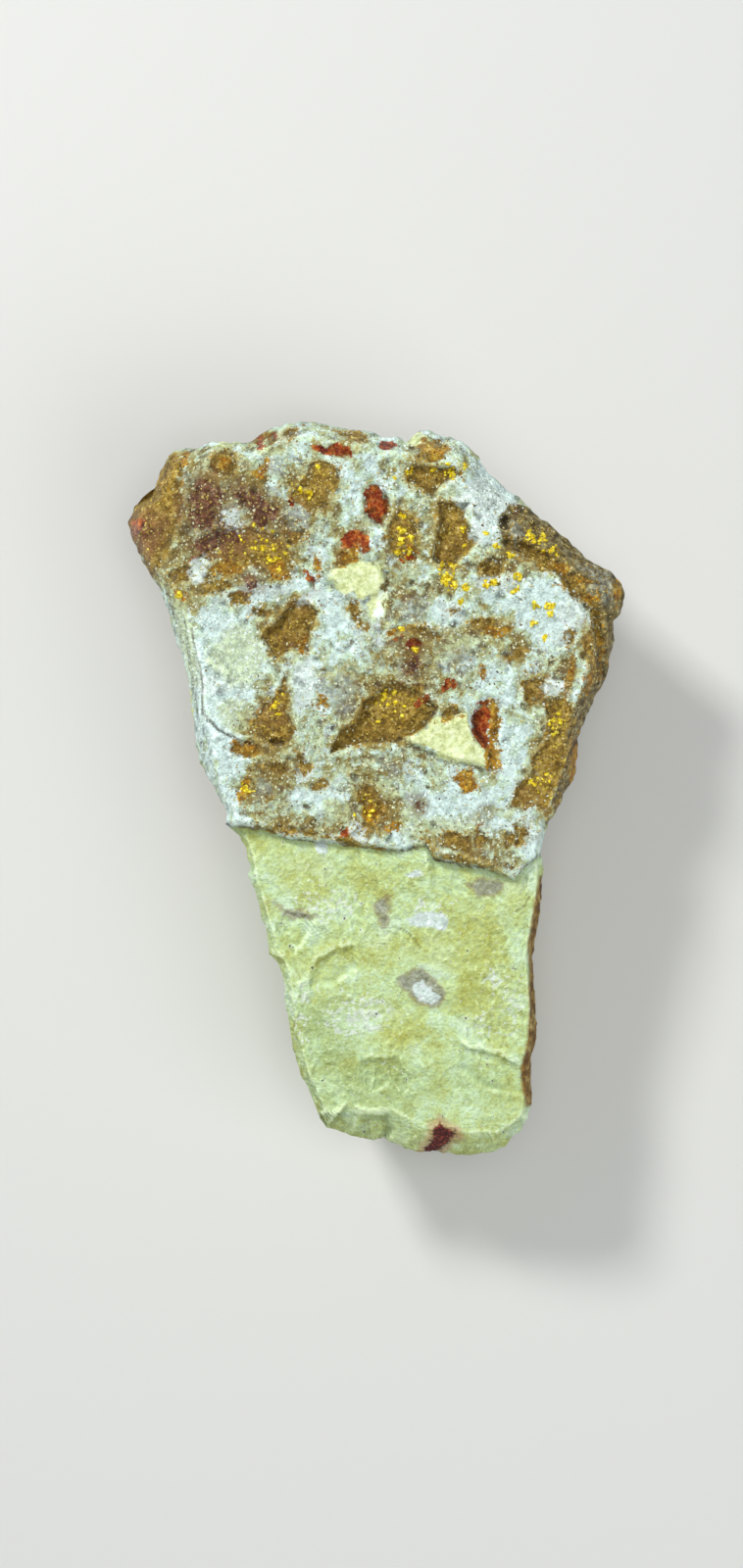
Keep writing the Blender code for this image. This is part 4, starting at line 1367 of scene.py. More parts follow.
    def add_field(self, mesh: bpy.types.Mesh, name: str, values: Array) -> None:
        """Stores one number for each point of the mesh, for a material to read."""
        field = mesh.attributes.new(name, "FLOAT", "POINT")
        field.data.foreach_set("value", values.astype(np.float32))

    def surface_places(self, plan: Array) -> Array:
        """Places on the finished top over these plan places, in the part's frame.

        Args:
            plan: Plan places, before the part is centred.

        Returns:
            Places in millimetres.
        """
        flat = np.column_stack([plan, self.shape.top_height(plan)])
        below = np.zeros(len(flat))
        depths = self.marks.depths(flat, below)
        flat[:, 2] += self.marks.fine_relief(flat, depths)
        return flat - self.offset


def linked(name: str, data: bpy.types.ID) -> bpy.types.Object:
    """An object at the origin and in the scene, for a mesh, a light or a camera.

    Args:
        name: The object's name.
        data: Its mesh, light or camera.

    Returns:
        The object.
    """
    piece = bpy.data.objects.new(name, data)
    bpy.context.scene.collection.objects.link(piece)
    return piece


@dataclass(frozen=True)
class Film:
    """A look laid over another: its colour or shades, and where a value brings it in.

    The edge is the span over which it comes in. The share is how much of it there is
    then. Ragged is how many times rough noise is added to a depth first.
    """

    colour: Colour | Shades
    edge: Span
    share: float = 1.0
    ragged: float = 0.0


class Graph:
    """A material's nodes, written as short calls. Places are in millimetres."""

    def __init__(self, name: str) -> None:
        """Makes the material with its shader and a place in millimetres.

        Args:
            name: The material's name.
        """
        self.material = bpy.data.materials.new(name)
        self.material.use_nodes = True
        self.tree = self.material.node_tree
        self.shader = self.tree.nodes["Principled BSDF"]
        self.place = self.shaded(self.node("TexCoord", {}).outputs["Object"], 1 / MM)

    def put(self, socket: Socket, value: Socket | float | list[float] | Colour) -> None:
        """Links a socket to another, or sets it to a plain value.

        Args:
            socket: The input.
            value: An output, a number, a list of them, or a colour from 0 to 255.
        """
        if isinstance(value, bpy.types.NodeSocket):
            self.tree.links.new(value, socket)
            return
        socket.default_value = srgb(*value) if isinstance(value, tuple) else value

    def node(self, kind: str, inputs: dict, **settings: str) -> bpy.types.Node:
        """A new node with its settings and its inputs.

        Args:
            kind: Blender's name for it, after the words that all of them start with.
            inputs: What each input gets, by its name or its number.
            **settings: What each setting gets.

        Returns:
            The node.
        """
        node = self.tree.nodes.new("ShaderNode" + kind)
        for name, value in settings.items():
            setattr(node, name, value)
        for name, value in inputs.items():
            self.put(node.inputs[name], value)
        return node

    def math(self, operation: str, *values: Socket | float) -> Socket:
        """One sum on numbers, by Blender's name for it."""
        return self.node("Math", dict(enumerate(values)), operation=operation).outputs[0]

    def times(self, first: Socket, second: Socket | float) -> Socket:
        """One number times another."""
        return self.math("MULTIPLY", first, second)

    def scaled(self, value: Socket, scale: Socket | float, start: Socket | float) -> Socket:
        """A number times a scale, plus a start."""
        return self.math("MULTIPLY_ADD", value, scale, start)

    def blend(self, share: Socket, first: Socket | float, second: Socket | float) -> Socket:
        """A blend of two numbers, with this share of the second."""
        return self.node("Mix", {0: share, 2: first, 3: second}).outputs[0]

    def mix(self, share: Socket, first: Socket, second: Socket | Colour) -> Socket:
        """A blend of two colours, with this share of the second."""
        return self.node("Mix", {0: share, 6: first, 7: second}, data_type="RGBA").outputs[2]

    def shaded(self, colour: Socket, amount: Socket | float) -> Socket:
        """A colour or a place times a number."""
        return self.node("VectorMath", {0: colour, "Scale": amount}, operation="SCALE").outputs[0]

    def field(self, name: str) -> Socket:
        """One of the mesh's own numbers."""
        return self.node("Attribute", {}, attribute_name=name).outputs["Fac"]

    def noise(self, size: float, detail: float = 4, roughness: float = 0.6) -> Socket:
        """Noise about 0.5, with features of this size and this many finer layers."""
        inputs = {"Scale": 1 / size, "Detail": detail, "Roughness": roughness}
        return self.node("TexNoise", {"Vector": self.place, **inputs}).outputs["Fac"]

    def moved(self, size: float, amount: float) -> Socket:
        """The place, moved about by noise.

        Args:
            size: The noise's features in millimetres.
            amount: How far it can move.

        Returns:
            The moved place.
        """
        noise = self.node("TexNoise", {"Vector": self.place, "Scale": 1 / size, "Detail": 4})
        shift = {0: noise.outputs["Color"], 1: [2 * amount] * 3, 2: self.place}
        return self.node("VectorMath", shift, operation="MULTIPLY_ADD").outputs[0]

    def cells(self, size: float, place: Socket) -> tuple[Socket, Socket]:
        """Cells about this many millimetres across.

        Args:
            size: The cells' size.
            place: Where they are looked up.

        Returns:
            The distance from a cell's middle, and a random number for each cell.
        """
        node = self.node("TexVoronoi", {"Vector": place, "Scale": 1 / size})
        split = self.node("SeparateColor", {0: node.outputs["Color"]})
        return node.outputs["Distance"], split.outputs[0]

    def gap(self, size: float, place: Socket) -> Socket:
        """The distance from the edges of cells of this size."""
        inputs = {"Vector": place, "Scale": 1 / size}
        return self.node("TexVoronoi", inputs, feature="DISTANCE_TO_EDGE").outputs["Distance"]

    def step(self, value: Socket, low: float, high: float) -> Socket:
        """A smooth rise from 0 at low to 1 at high."""
        inputs = {"Value": value, "From Min": low, "From Max": high}
        return self.node("MapRange", inputs, interpolation_type="SMOOTHSTEP").outputs["Result"]

    def ramp(self, value: Socket, shades: Shades) -> Socket:
        """A colour that changes with a value.

        Args:
            value: The value.
            shades: Positions and their colours, in order.

        Returns:
            The colour.
        """
        node = self.node("ValToRGB", {0: value})
        elements = node.color_ramp.elements
        for element, (position, colour) in zip(elements, shades):
            element.position = position
            element.color = srgb(*colour)
        for position, colour in shades[2:]:
            elements.new(position).color = srgb(*colour)
        return node.outputs["Color"]

    def film(self, base: Socket, film: Film, value: Socket, tone: Socket | None = None) -> Socket:
        """A film over a colour, where a value rises through the film's edge.

        Args:
            base: The colour below.
            film: The film.
            value: What rises.
            tone: What the film's shades follow, where it has more than one.

        Returns:
            The colour.
        """
        share = self.times(self.step(value, *film.edge), film.share)
        colour = film.colour if tone is None else self.ramp(tone, film.colour)
        return self.mix(share, base, colour)

    def bump(self, height: Socket, strength: float, distance: float) -> None:
        """Adds relief to the shader's normal, over this many millimetres."""
        inputs = {"Strength": strength, "Distance": distance * MM, "Height": height}
        self.put(self.shader.inputs["Normal"], self.node("Bump", inputs).outputs["Normal"])

    def dress(self, colour: Socket, roughness: Socket, metal: Socket | float = 0.0) -> None:
        """Gives the shader its colour, its roughness and its share of metal."""
        for name, value in (("Base Color", colour), ("Metallic", metal), ("Roughness", roughness)):
            self.put(self.shader.inputs[name], value)


@dataclass(frozen=True)
class Paint:
    """How a mineral looks: three shades from dark to light, and what its edge is like."""

    shades: tuple[Colour, Colour, Colour]
    ragged: float
    edge: float = 0.1
    speckle: float = 0.4
    share: float = 1.0
    share_on_wall: float = 0.0


# The minerals' looks, in the order in which they cover one another.
PAINTS: dict[Mineral, Paint] = {
    Mineral.DARK: Paint(((62, 46, 14), (126, 110, 58), (192, 184, 136)), 1.0, 0.2, 0.6),
    Mineral.GREY: Paint(
        ((112, 112, 92), (160, 166, 150), (206, 216, 208)), 2.0, 0.5, 0.6, 0.6, 0.65
    ),
    Mineral.CLAY: Paint(((176, 184, 116), (216, 228, 166), (240, 250, 210)), 2.0, 0.12, 0.2),
    Mineral.TAN: Paint(((100, 74, 12), (158, 126, 36), (206, 178, 96)), 2.6, 0.14, 0.4),
    Mineral.MAROON: Paint(((60, 20, 12), (106, 56, 36), (172, 140, 104)), 2.0, 0.2, 0.6, 0.92),
    Mineral.AMBER: Paint(((134, 82, 8), (184, 132, 20), (220, 184, 66)), 1.8, 0.14, 0.4),
    Mineral.RED: Paint(((104, 24, 4), (164, 66, 14), (226, 148, 64)), 1.7, 0.1, 0.4),
    Mineral.WHITE: Paint(
        ((208, 226, 210), (232, 250, 242), (248, 255, 254)), 1.2, 0.25, 0.1, 0.9, 1.0
    ),
}


@dataclass(frozen=True)
class RockFinish:
    """The stone's finish: quartz with its stains and gold, and the wall rock."""

    name: str = "quartz_and_wall_rock"
    shade_stops: tuple[float, float, float] = (0.36, 0.5, 0.64)
    grain_size: float = 0.40
    crumb_size: float = 1.5
    flake_size: float = 0.27
    quartz: Shades = (
        (0.44, (148, 130, 66)),
        (0.50, (176, 172, 112)),
        (0.56, (196, 210, 164)),
        (0.62, (208, 234, 206)),
        (0.69, (228, 252, 246)),
    )
    wash_edge: Span = (-1.8, 2.2)
    pale_edge: Span = (-1.4, 1.8)
    tints: tuple[tuple[Mineral, Film], ...] = (
        (Mineral.GREEN, Film((212, 228, 172), (0.9, 2.0), 0.7, 3.0)),
        (Mineral.TAN, Film((166, 140, 76), (0.4, 2.2), 0.6, 3.0)),
        (Mineral.MAROON, Film((124, 92, 54), (-0.6, 1.2), 0.6, 3.0)),
    )
    crevice: Colour = (120, 96, 44)
    crevice_edge: Span = (0.05, 0.0)
    speck: Film = Film(
        ((0.36, (96, 70, 22)), (0.5, (144, 120, 56)), (0.62, (116, 90, 66))), (0.58, 0.66), 0.75
    )
    cream: Shades = (
        (0.38, (192, 200, 112)),
        (0.45, (208, 226, 146)),
        (0.52, (214, 240, 178)),
        (0.60, (230, 255, 220)),
    )
    ochre: Film = Film(
        ((0.40, (188, 192, 90)), (0.50, (206, 220, 130)), (0.60, (222, 240, 170))),
        (0.8, 3.4), 0.8, 3.6,
    )
    green: Film = Film(
        ((0.40, (168, 186, 112)), (0.50, (190, 214, 148)), (0.60, (212, 240, 184))),
        (1.4, 4.6), 0.8, 5.0,
    )
    fleck_patch: Span = (-1.0, 2.0)
    fleck: Film = Film((240, 252, 236), (0.62, 0.67), 0.85)
    # A painted highlight, laid on the wall rock where it stands above its neighbours.
    crest_highlight: Film = Film((230, 248, 206), (0.04, 0.16), 0.6)
    # The rust's colours, partly painted shade on the right-hand sides.
    rust: Film = Film(
        ((0.36, (84, 52, 14)), (0.5, (140, 104, 40)), (0.64, (200, 182, 112))),
        (0.3, 2.6), 1.0, 2.4,
    )
    halo: Film = Film((202, 150, 112), (-0.2, 1.0), 0.6, 2.4)
    blood: Film = Film(
        ((0.4, (48, 10, 10)), (0.52, (96, 24, 18)), (0.62, (160, 70, 48))), (0.9, 1.5), 1.0, 2.4
    )
    red_tan: Film = Film((144, 100, 64), (-1.8, 0.6), 0.75, 2.0)
    lens_ragged: float = 1.8
    lens_rim: Film = Film((146, 104, 78), (0.4, 0.8), 0.5)
    lens_edge: Span = (0.75, 1.1)
    contact_edge: Span = (0.30, 0.50)
    crack: Colour = (92, 70, 30)
    crack_edge: Span = (-0.16, 0.04)
    dot: Film = Film((64, 46, 26), (0.765, 0.785), 0.9)
    gold: Colour = (240, 216, 96)
    gold_patch: Span = (0.3, 1.1)
    gold_edge: Span = (1.0, 1.01)

    def near(self, graph: Graph, mineral: Mineral, wander: Socket, ragged: float) -> Socket:
        """A mineral's depth, with noise that roughens its edge."""
        return graph.scaled(wander, ragged, graph.field(mineral.value))

    def patch(self, graph: Graph, mineral: Mineral, wander: Socket) -> Socket:
        """A mineral's share: its depth plus fine noise, rising over its edge.

        Args:
            graph: The material's nodes.
            mineral: Which mineral.
            wander: Noise about 0.5 that roughens the edge.

        Returns:
            A share from 0 to 1.
        """
        paint = PAINTS[mineral]
        moved = self.near(graph, mineral, wander, 2 * paint.ragged)
        return graph.step(moved, paint.ragged - paint.edge, paint.ragged + paint.edge)

    def coat(self, graph: Graph, paint: Paint, fine: Socket, grain: Socket) -> Socket:
        """A mineral's colour: shades by fine noise, each grain a little lighter or darker."""
        base = graph.ramp(fine, tuple(zip(self.shade_stops, paint.shades)))
        return graph.shaded(base, graph.scaled(grain, paint.speckle, 1 - paint.speckle / 2))

    def quartz_colour(self, graph: Graph, rough: Socket, grain: Socket) -> Socket:
        """Quartz: cool white and grey by noise, warm and speckled where iron washed it.

        The share of warm tint, and of brown specks, rises with the depth in the wash and
        falls with the depth in the pale quartz. Specks gather in the hollows.

        Args:
            graph: The material's nodes.
            rough: Noise about 0.5, features about a millimetre.
            grain: A random number for each sugary grain.

        Returns:
            The colour.
        """
        wash = graph.step(graph.field(Mineral.WASH.value), *self.wash_edge)
        pale = graph.step(graph.field(Mineral.PALE.value), *self.pale_edge)
        density = graph.scaled(pale, -0.8, wash)
        place = graph.moved(1.0, 0.7)
        _, crumb = graph.cells(self.crumb_size, place)
        tone = graph.scaled(crumb, 0.2, graph.times(rough, 0.5))
        tone = graph.scaled(graph.noise(3.4, 5, 0.7), 0.6, tone)
        base = graph.ramp(graph.scaled(density, -0.16, tone), self.quartz)
        for mineral, film in self.tints:
            base = graph.film(base, film, self.near(graph, mineral, rough, film.ragged))
        crevice = graph.step(graph.gap(self.crumb_size, place), *self.crevice_edge)
        base = graph.mix(graph.times(graph.times(crevice, wash), 0.5), base, self.crevice)
        speck = graph.scaled(density, 0.12, graph.noise(0.9, 6, 0.8))
        # Brown specks come in more where the surface lies below its neighbours.
        speck = graph.scaled(graph.field("relief_shade"), -0.5, speck)
        base = graph.film(base, self.speck, speck, graph.noise(1.8, 4, 0.6))
        return graph.shaded(base, graph.scaled(grain, 0.26, 0.88))

    def wall_rock_colour(self, graph: Graph, rough: Socket) -> Socket:
        """Wall rock: cream, ochre and green by patch and noise, with pale flecks.

        Args:
            graph: The material's nodes.
            rough: Noise about 0.5, features about a millimetre.

        Returns:
            The colour.
        """
        leather = graph.noise(0.4, 3, 0.6)
        tone = graph.scaled(graph.noise(4.6, 8, 0.66), 0.75, graph.times(leather, 0.25))
        base = graph.ramp(tone, self.cream)
        for mineral, film in ((Mineral.OCHRE, self.ochre), (Mineral.GREEN, self.green)):
            base = graph.film(base, film, self.near(graph, mineral, rough, film.ragged), tone)
        fleck = graph.step(graph.field(Mineral.FLECKS.value), *self.fleck_patch)
        fleck = graph.scaled(fleck, 0.13, graph.noise(0.7, 4, 0.7))
        base = graph.film(base, self.fleck, fleck)
        # Painted highlight on the wall rock's crests.
        base = graph.film(base, self.crest_highlight, graph.field("relief_shade"))
        # Rust on the sides, partly painted shade on the right.
        rust_and_shade_depth = graph.scaled(rough, self.rust.ragged, graph.field("rust"))
        base = graph.film(base, self.rust, rust_and_shade_depth, rough)
        blood = self.near(graph, Mineral.MAROON, rough, self.blood.ragged)
        base = graph.film(base, self.halo, blood)
        return graph.film(base, self.blood, blood, leather)

    def material(self) -> bpy.types.Material:
        """Layers the minerals over the quartz, then the wall rock beyond the contact.

        Returns:
            The finished material.
        """
        graph = Graph(self.name)
        rough = graph.noise(1.3, 7, 0.70)
        fine = graph.noise(0.9, 7, 0.74)
        finer = graph.noise(0.5, 4, 0.6)
        sugar, grain = graph.cells(self.grain_size, graph.place)
        colour = self.quartz_colour(graph, rough, grain)
        on_wall = graph.scaled(finer, 0.8, graph.field("wall_rock"))
        on_wall = graph.step(on_wall, *self.contact_edge)
        rock = self.wall_rock_colour(graph, rough)
        shares = {}
        for mineral, paint in PAINTS.items():
            shares[mineral] = self.patch(graph, mineral, rough)
            coat = self.coat(graph, paint, fine, grain)
            if mineral is Mineral.TAN:
                near = self.near(graph, Mineral.MAROON, rough, self.red_tan.ragged)
                coat = graph.film(coat, self.red_tan, near)
            colour = graph.mix(graph.times(shares[mineral], paint.share), colour, coat)
            if not paint.share_on_wall:
                continue
            lens = self.near(graph, mineral, rough, self.lens_ragged)
            if mineral is Mineral.GREY:
                rock = graph.film(rock, self.lens_rim, lens)
            share = graph.times(graph.step(lens, *self.lens_edge), paint.share_on_wall)
            rock = graph.mix(share, rock, coat)
        colour = graph.mix(on_wall, colour, rock)
        crack = graph.step(graph.field("crack"), *self.crack_edge)
        crack = graph.times(crack, graph.scaled(on_wall, -0.3, 0.65))
        colour = graph.mix(crack, colour, self.crack)
        colour = graph.film(colour, self.dot, graph.noise(0.7, 1, 0.5))

        _, flake = graph.cells(self.flake_size, graph.place)
        in_gold = self.near(graph, Mineral.GOLD, rough, 1.8)
        in_gold = graph.step(in_gold, *self.gold_patch)
        level = graph.scaled(in_gold, 0.08, graph.times(shares[Mineral.TAN], 0.03))
        level = graph.times(level, graph.math("SUBTRACT", 1.0, on_wall))
        gold = graph.step(graph.math("ADD", flake, level), *self.gold_edge)
        colour = graph.mix(gold, colour, self.gold)
        clay = shares[Mineral.CLAY]
        # Painted shade in hollows and painted highlight on crests: the colour is scaled by one
        # plus the height above the neighbours. This is less on clay, and never darker than a floor
        # that is higher on wall rock and tan iron.
        relief = graph.times(graph.field("relief_shade"), graph.blend(clay, 2.2, 0.5))
        darkest = graph.math("MAXIMUM", on_wall, shares[Mineral.TAN])
        darkest = graph.scaled(darkest, 0.3, 0.5)
        relief_shade = graph.math("MAXIMUM", graph.math("ADD", relief, 1.0), darkest)
        matt = graph.blend(on_wall, graph.scaled(finer, 0.6, 0.28), 0.78)
        matt = graph.blend(shares[Mineral.RED], matt, 0.25)
        matt = graph.blend(gold, matt, 0.3)
        graph.dress(graph.shaded(colour, relief_shade), matt, graph.times(gold, 0.7))
        height = graph.scaled(sugar, -0.6, graph.noise(0.5, 6, 0.72))
        faint = graph.scaled(clay, -0.75, graph.scaled(on_wall, -0.1, 1.0))
        graph.bump(graph.times(height, faint), 1.0, 0.5)
        return graph.material


@dataclass(frozen=True)
class GoldFinish:
    """Native gold: bright, a little rough, darker and redder in spots of noise."""

    name: str = "native_gold"
    shades: Shades = ((0.35, (196, 160, 14)), (0.5, (238, 214, 32)), (0.66, (255, 246, 110)))
    metal: float = 0.55

    def material(self) -> bpy.types.Material:
        """Yellow metal with noise in its colour and its roughness.

        Returns:
            The finished material.
        """
        graph = Graph(self.name)
        spots = graph.noise(0.4, 4, 0.6)
        roughness = graph.scaled(spots, 0.5, 0.12)
        graph.dress(graph.ramp(spots, self.shades), roughness, self.metal)
        graph.bump(graph.noise(0.15, 3, 0.6), 0.6, 0.1)
        return graph.material


@dataclass(frozen=True)
class CrystalFinish:
    """Sugary quartz crystals, white to grey, some stained by iron."""

    name: str = "sugar_quartz"
    clean: Shades = ((0.0, (160, 168, 154)), (0.4, (212, 226, 216)), (1.0, (238, 252, 246)))
    beige: Shades = ((0.0, (126, 112, 62)), (0.5, (186, 180, 126)), (1.0, (222, 230, 186)))
    brown: Shades = ((0.0, (84, 62, 14)), (0.6, (152, 124, 48)), (1.0, (212, 194, 116)))

    def material(self) -> bpy.types.Material:
        """White and grey by noise, brown where a crystal's own number is high.

        Returns:
            The finished material.
        """
        graph = Graph(self.name)
        shade = graph.field("shade")
        clean, beige, brown = (
            graph.ramp(shade, shades) for shades in (self.clean, self.beige, self.brown)
        )
        colour = graph.mix(graph.field("warm"), clean, beige)
        colour = graph.mix(graph.field("stain"), colour, brown)
        spots = graph.noise(0.5, 3, 0.6)
        colour = graph.shaded(colour, graph.scaled(spots, 0.5, 0.75))
        graph.dress(colour, graph.scaled(spots, 0.5, 0.15))
        return graph.material


def turned(points: Array, angles: Array) -> Array:
    """Copies of a small shape, each turned by its own three angles.

    Args:
        points: The shape's points.
        angles: Three angles for each copy.

    Returns:
        The points of every copy: copies, points and coordinates.
    """
    (cx, cy, cz), (sx, sy, sz) = np.cos(angles).T, np.sin(angles).T
    zero, one = np.zeros(len(angles)), np.ones(len(angles))
    about_x = np.array([[one, zero, zero], [zero, cx, -sx], [zero, sx, cx]])
    about_y = np.array([[cy, zero, sy], [zero, one, zero], [-sy, zero, cy]])
    about_z = np.array([[cz, -sz, zero], [sz, cz, zero], [zero, zero, one]])
    both = np.einsum("ijn,jkn,kln->nil", about_z, about_y, about_x)
    return np.einsum("nij,pj->npi", both, points)


def bead(around: int, rows: int) -> tuple[Array, list[list[int]]]:
    """A closed ball as a surface of two parameters: angle round and angle from the top.

    Args:
        around: Points in each ring.
        rows: Rows of faces from pole to pole.

    Returns:
        The points and the faces.
    """
    down = np.linspace(0, np.pi, rows + 1)[1:-1]
    turn = np.linspace(0, 2 * np.pi, around, endpoint=False)
    down, turn = (grid.ravel() for grid in np.meshgrid(down, turn, indexing="ij"))
    out = np.sin(down)
    ring = np.column_stack([out * np.cos(turn), out * np.sin(turn), np.cos(down)])
    points = np.vstack([ring, (0, 0, 1), (0, 0, -1)])
    top, bottom = len(ring), len(ring) + 1
    faces = []
    for i in range(around):
        j = (i + 1) % around
        faces.append([top, i, j])
        for row in range(rows - 2):
            at, to = row * around, (row + 1) * around
            faces.append([at + i, to + i, to + j, at + j])
        last = (rows - 2) * around
        faces.append([bottom, last + j, last + i])
    return points, faces


def tumbled(
    random: np.random.Generator, count: int, radius: Span, squash: Span
) -> tuple[Array, Array]:
    """Half sizes and turns for loose grains, drawn at random.

    Args:
        random: Where the draws come from.
        count: How many grains there are.
        radius: The smallest and the largest radius.
        squash: The least and the most that one of its half sizes is scaled by.

    Returns:
        Three half sizes and three angles for each grain.
    """
    sizes = random.uniform(*radius, (count, 1)) * random.uniform(*squash, (count, 3))
    return sizes, random.uniform(0, 2 * np.pi, (count, 3))


@dataclass
class Grains:
    """Hundreds of small closed grains set into the stone's top as one mesh."""

    name: str
    skin: StoneSkin
    around: int
    rows: int
    sunk: float
    ragged: float
    lump_size: float = 0.33

    def build(
        self, plan: Array, sizes: Array, angles: Array, fields: dict[str, Array]
    ) -> bpy.types.Object:
        """Places a lumpy bead at each spot, in whole arrays.

        Each bead is a ball scaled along three axes, turned, pushed out or in by noise
        and set on the surface with part of it sunk.

        Args:
            plan: Plan places before the part is centred.
            sizes: Three half sizes for each grain.
            angles: Three angles for each grain.
            fields: Numbers for each grain that its material reads.

        Returns:
            The finished grains.
        """
        ball, faces = bead(self.around, self.rows)
        spots = self.skin.surface_places(plan)
        spots[:, 2] -= self.sunk * sizes.min(1)
        shapes = turned(ball, angles) * sizes[:, None, :]
        flat = (shapes + spots[:, None, :]).reshape(-1, 3)
        push = 1 + self.ragged * lattice_noise(flat, self.lump_size, 95)
        flat = shapes.reshape(-1, 3) * push[:, None] + np.repeat(spots, len(ball), axis=0)
        starts = np.arange(len(plan)) * len(ball)
        joined = [[start + i for i in face] for start in starts.tolist() for face in faces]
        mesh = bpy.data.meshes.new(self.name)
        mesh.from_pydata(flat * MM, [], joined)
        for field, values in fields.items():
            self.skin.add_field(mesh, field, np.repeat(values, len(ball)))
        return linked(self.name, mesh)


@dataclass
class GoldGrains:
    """Native gold in clusters of lumpy nuggets."""

    skin: StoneSkin
    finish: GoldFinish
    radius: Span = (0.13, 0.36)
    squash: Span = (0.7, 1.3)
    spread: float = 0.62
    share_of_marks: float = 1.5
    seed: int = 7

    def build(self) -> bpy.types.Object:
        """Scatters nuggets about each cluster's centre.

        Returns:
            The finished gold.
        """
        random = np.random.default_rng(self.seed)
        clusters = np.array(GOLD_CLUSTERS)
        counts = np.ceil(self.share_of_marks * clusters[:, 3]).astype(int)
        centres = np.repeat(clusters[:, :3], counts, axis=0)
        away = random.normal(0, self.spread, (len(centres), 2))
        plan = centres[:, :2] + centres[:, 2:] * away
        sizes, angles = tumbled(random, len(plan), self.radius, self.squash)
        nuggets = Grains("gold_grains", self.skin, around=6, rows=4, sunk=0.15, ragged=0.45)
        piece = nuggets.build(plan, sizes, angles, {})
        piece.data.materials.append(self.finish.material())
        return piece


@dataclass
class QuartzSugar:
    """Small quartz crystals all over the quartz part's top."""

    skin: StoneSkin
    finish: CrystalFinish
    count: int = 14000
    radius: Span = (0.09, 0.25)
    squash: Span = (0.6, 1.4)
    margin: float = 0.5
    contact_gap: float = 0.4
    low_corner: Span = (-32.0, -12.0)
    high_corner: Span = (32.0, 47.0)
    stain_edge: float = 0.4
    warm_edge: float = 2.5
    warm_start: float = 0.3
    warm_share: float = 0.85
    seed: int = 11

    def build(self) -> bpy.types.Object:
        """Scatters double pyramids on the quartz, leaving out clay, red iron and wall rock.

        Returns:
            The finished crystals.
        """
        random = np.random.default_rng(self.seed)
        plan = random.uniform(self.low_corner, self.high_corner, (self.count * 2, 2))
        plan = plan[depth_inside(plan, np.vstack(self.skin.shape.runs)) > self.margin]
        below = np.zeros(len(plan))
        depths = self.skin.marks.depths(np.column_stack([plan, below]), below)
        bare = depths["wall_rock"] < -self.contact_gap
        for mineral in (Mineral.CLAY, Mineral.RED):
            bare &= depths[mineral.value] < 0
        iron = (Mineral.TAN, Mineral.DARK, Mineral.AMBER, Mineral.MAROON)
        stained = np.max([depths[mineral.value] for mineral in iron], axis=0)
        wash = depths[Mineral.WASH.value] - depths[Mineral.PALE.value]
        plan, stained, wash = (values[bare][: self.count] for values in (plan, stained, wash))
        sizes, angles = tumbled(random, len(plan), self.radius, self.squash)
        stained += random.normal(0, 0.6, len(plan))
        shade = random.uniform(0, 1, len(plan))
        wash += random.normal(0, 1.6, len(plan))
        fields = {
            "stain": eased(0.5 + stained / self.stain_edge),
            "shade": shade,
            "warm": self.warm_share * eased(self.warm_start + wash / self.warm_edge),
        }
        crystals = Grains("quartz_sugar", self.skin, around=4, rows=2, sunk=0.35, ragged=0.2)
        piece = crystals.build(plan, sizes, angles, fields)
        piece.data.materials.append(self.finish.material())
        return piece


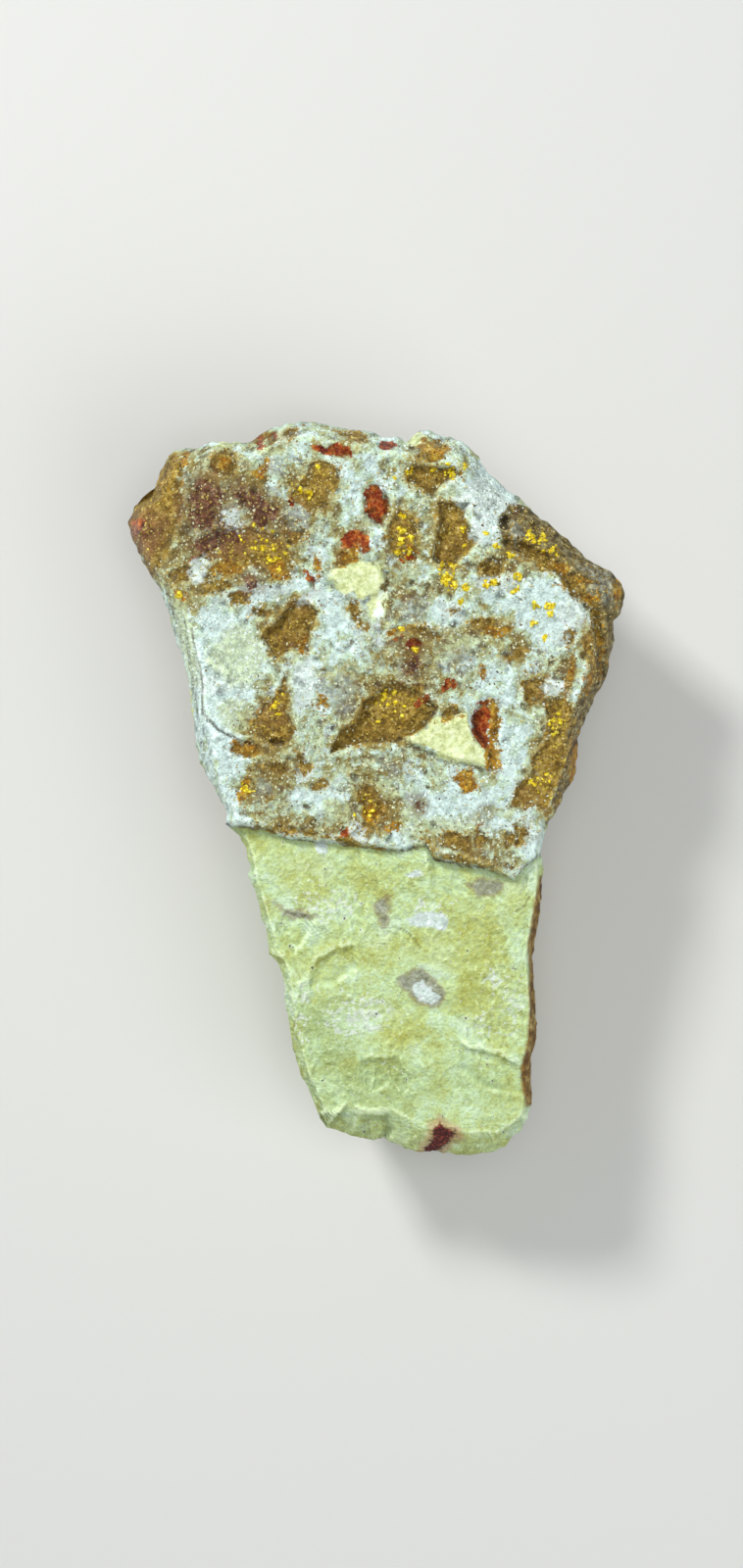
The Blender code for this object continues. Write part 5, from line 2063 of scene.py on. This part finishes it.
@dataclass
class Studio:
    """A pale floor, soft lights and a camera straight above, as the photo was taken."""

    floor_half_size: float = 0.6
    camera_distance: float = 0.6
    view_long_side: float = 0.2
    view_centre: tuple[float, float] = (-0.0005, 0.00075)
    face_height: float = 0.022
    lights: tuple[tuple[str, tuple[float, float, float], float, float], ...] = (
        ("key", (-0.32, 0.36, 0.46), 0.12, 3.0),
        ("fill", (0.35, -0.25, 0.5), 0.5, 1.5),
        ("front", (0.05, 0.0, 0.75), 0.3, 1.3),
    )
    sky_colour: tuple[float, float, float, float] = (0.9, 0.95, 1, 1)
    sky_strength: float = 0.28
    floor_colour: Colour = (214, 214, 210)
    floor_roughness: float = 0.9

    def floor(self) -> bpy.types.Object:
        """A flat square under the stone.

        Returns:
            The floor.
        """
        size = self.floor_half_size
        corners = ((-size, -size, 0), (size, -size, 0), (size, size, 0), (-size, size, 0))
        mesh = bpy.data.meshes.new("floor")
        mesh.from_pydata(corners, [], [(0, 1, 2, 3)])
        material = bpy.data.materials.new("pale_floor")
        material.use_nodes = True
        shader = material.node_tree.nodes["Principled BSDF"]
        shader.inputs["Base Color"].default_value = srgb(*self.floor_colour)
        shader.inputs["Roughness"].default_value = self.floor_roughness
        mesh.materials.append(material)
        floor = linked("floor", mesh)
        return floor

    def light(
        self, name: str, place: tuple[float, float, float], size: float, power: float
    ) -> None:
        """One square soft light that points at the stone.

        Args:
            name: Its name.
            place: Where it is.
            size: Its side.
            power: Its power in watts.
        """
        data = bpy.data.lights.new(name, "AREA")
        data.size = size
        data.energy = power
        lamp = linked(name, data)
        lamp.location = place
        way = -np.array(place)
        lamp.rotation_euler = (
            np.arctan2(np.hypot(way[0], way[1]), -way[2]),
            0,
            np.arctan2(way[0], -way[1]) + np.pi,
        )

    def camera(self) -> bpy.types.Object:
        """The camera, looking straight down with the photo's framing.

        Returns:
            The camera.
        """
        data = bpy.data.cameras.new("camera")
        data.lens = data.sensor_width * self.camera_distance / self.view_long_side
        camera = linked("camera", data)
        camera.location = (*self.view_centre, self.face_height + self.camera_distance)
        bpy.context.scene.camera = camera
        return camera

    def build(self) -> None:
        """Sets up the floor, the lights, the sky and the camera."""
        self.floor()
        for light in self.lights:
            self.light(*light)
        world = bpy.data.worlds.new("studio")
        world.use_nodes = True
        sky = world.node_tree.nodes["Background"].inputs
        sky["Color"].default_value = self.sky_colour
        sky["Strength"].default_value = self.sky_strength
        bpy.context.scene.world = world
        bpy.context.scene.view_settings.view_transform = "Standard"
        self.camera()


def main() -> None:
    """Builds the stone's surface and the studio, and reports each piece."""
    logging.basicConfig(level=logging.INFO, format="%(message)s")
    shape = StoneShape()
    skin = StoneSkin(shape, StoneMarks(shape))
    surface = skin.build()
    surface.data.materials.append(RockFinish().material())
    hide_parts("stone")
    gold = GoldGrains(skin, GoldFinish()).build()
    sugar = QuartzSugar(skin, CrystalFinish()).build()
    for piece in (surface, gold, sugar):
        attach(piece, "root")
        log.info("%s: %d faces", piece.name, len(piece.data.polygons))
    Studio().build()


if __name__ == "__main__":
    main()
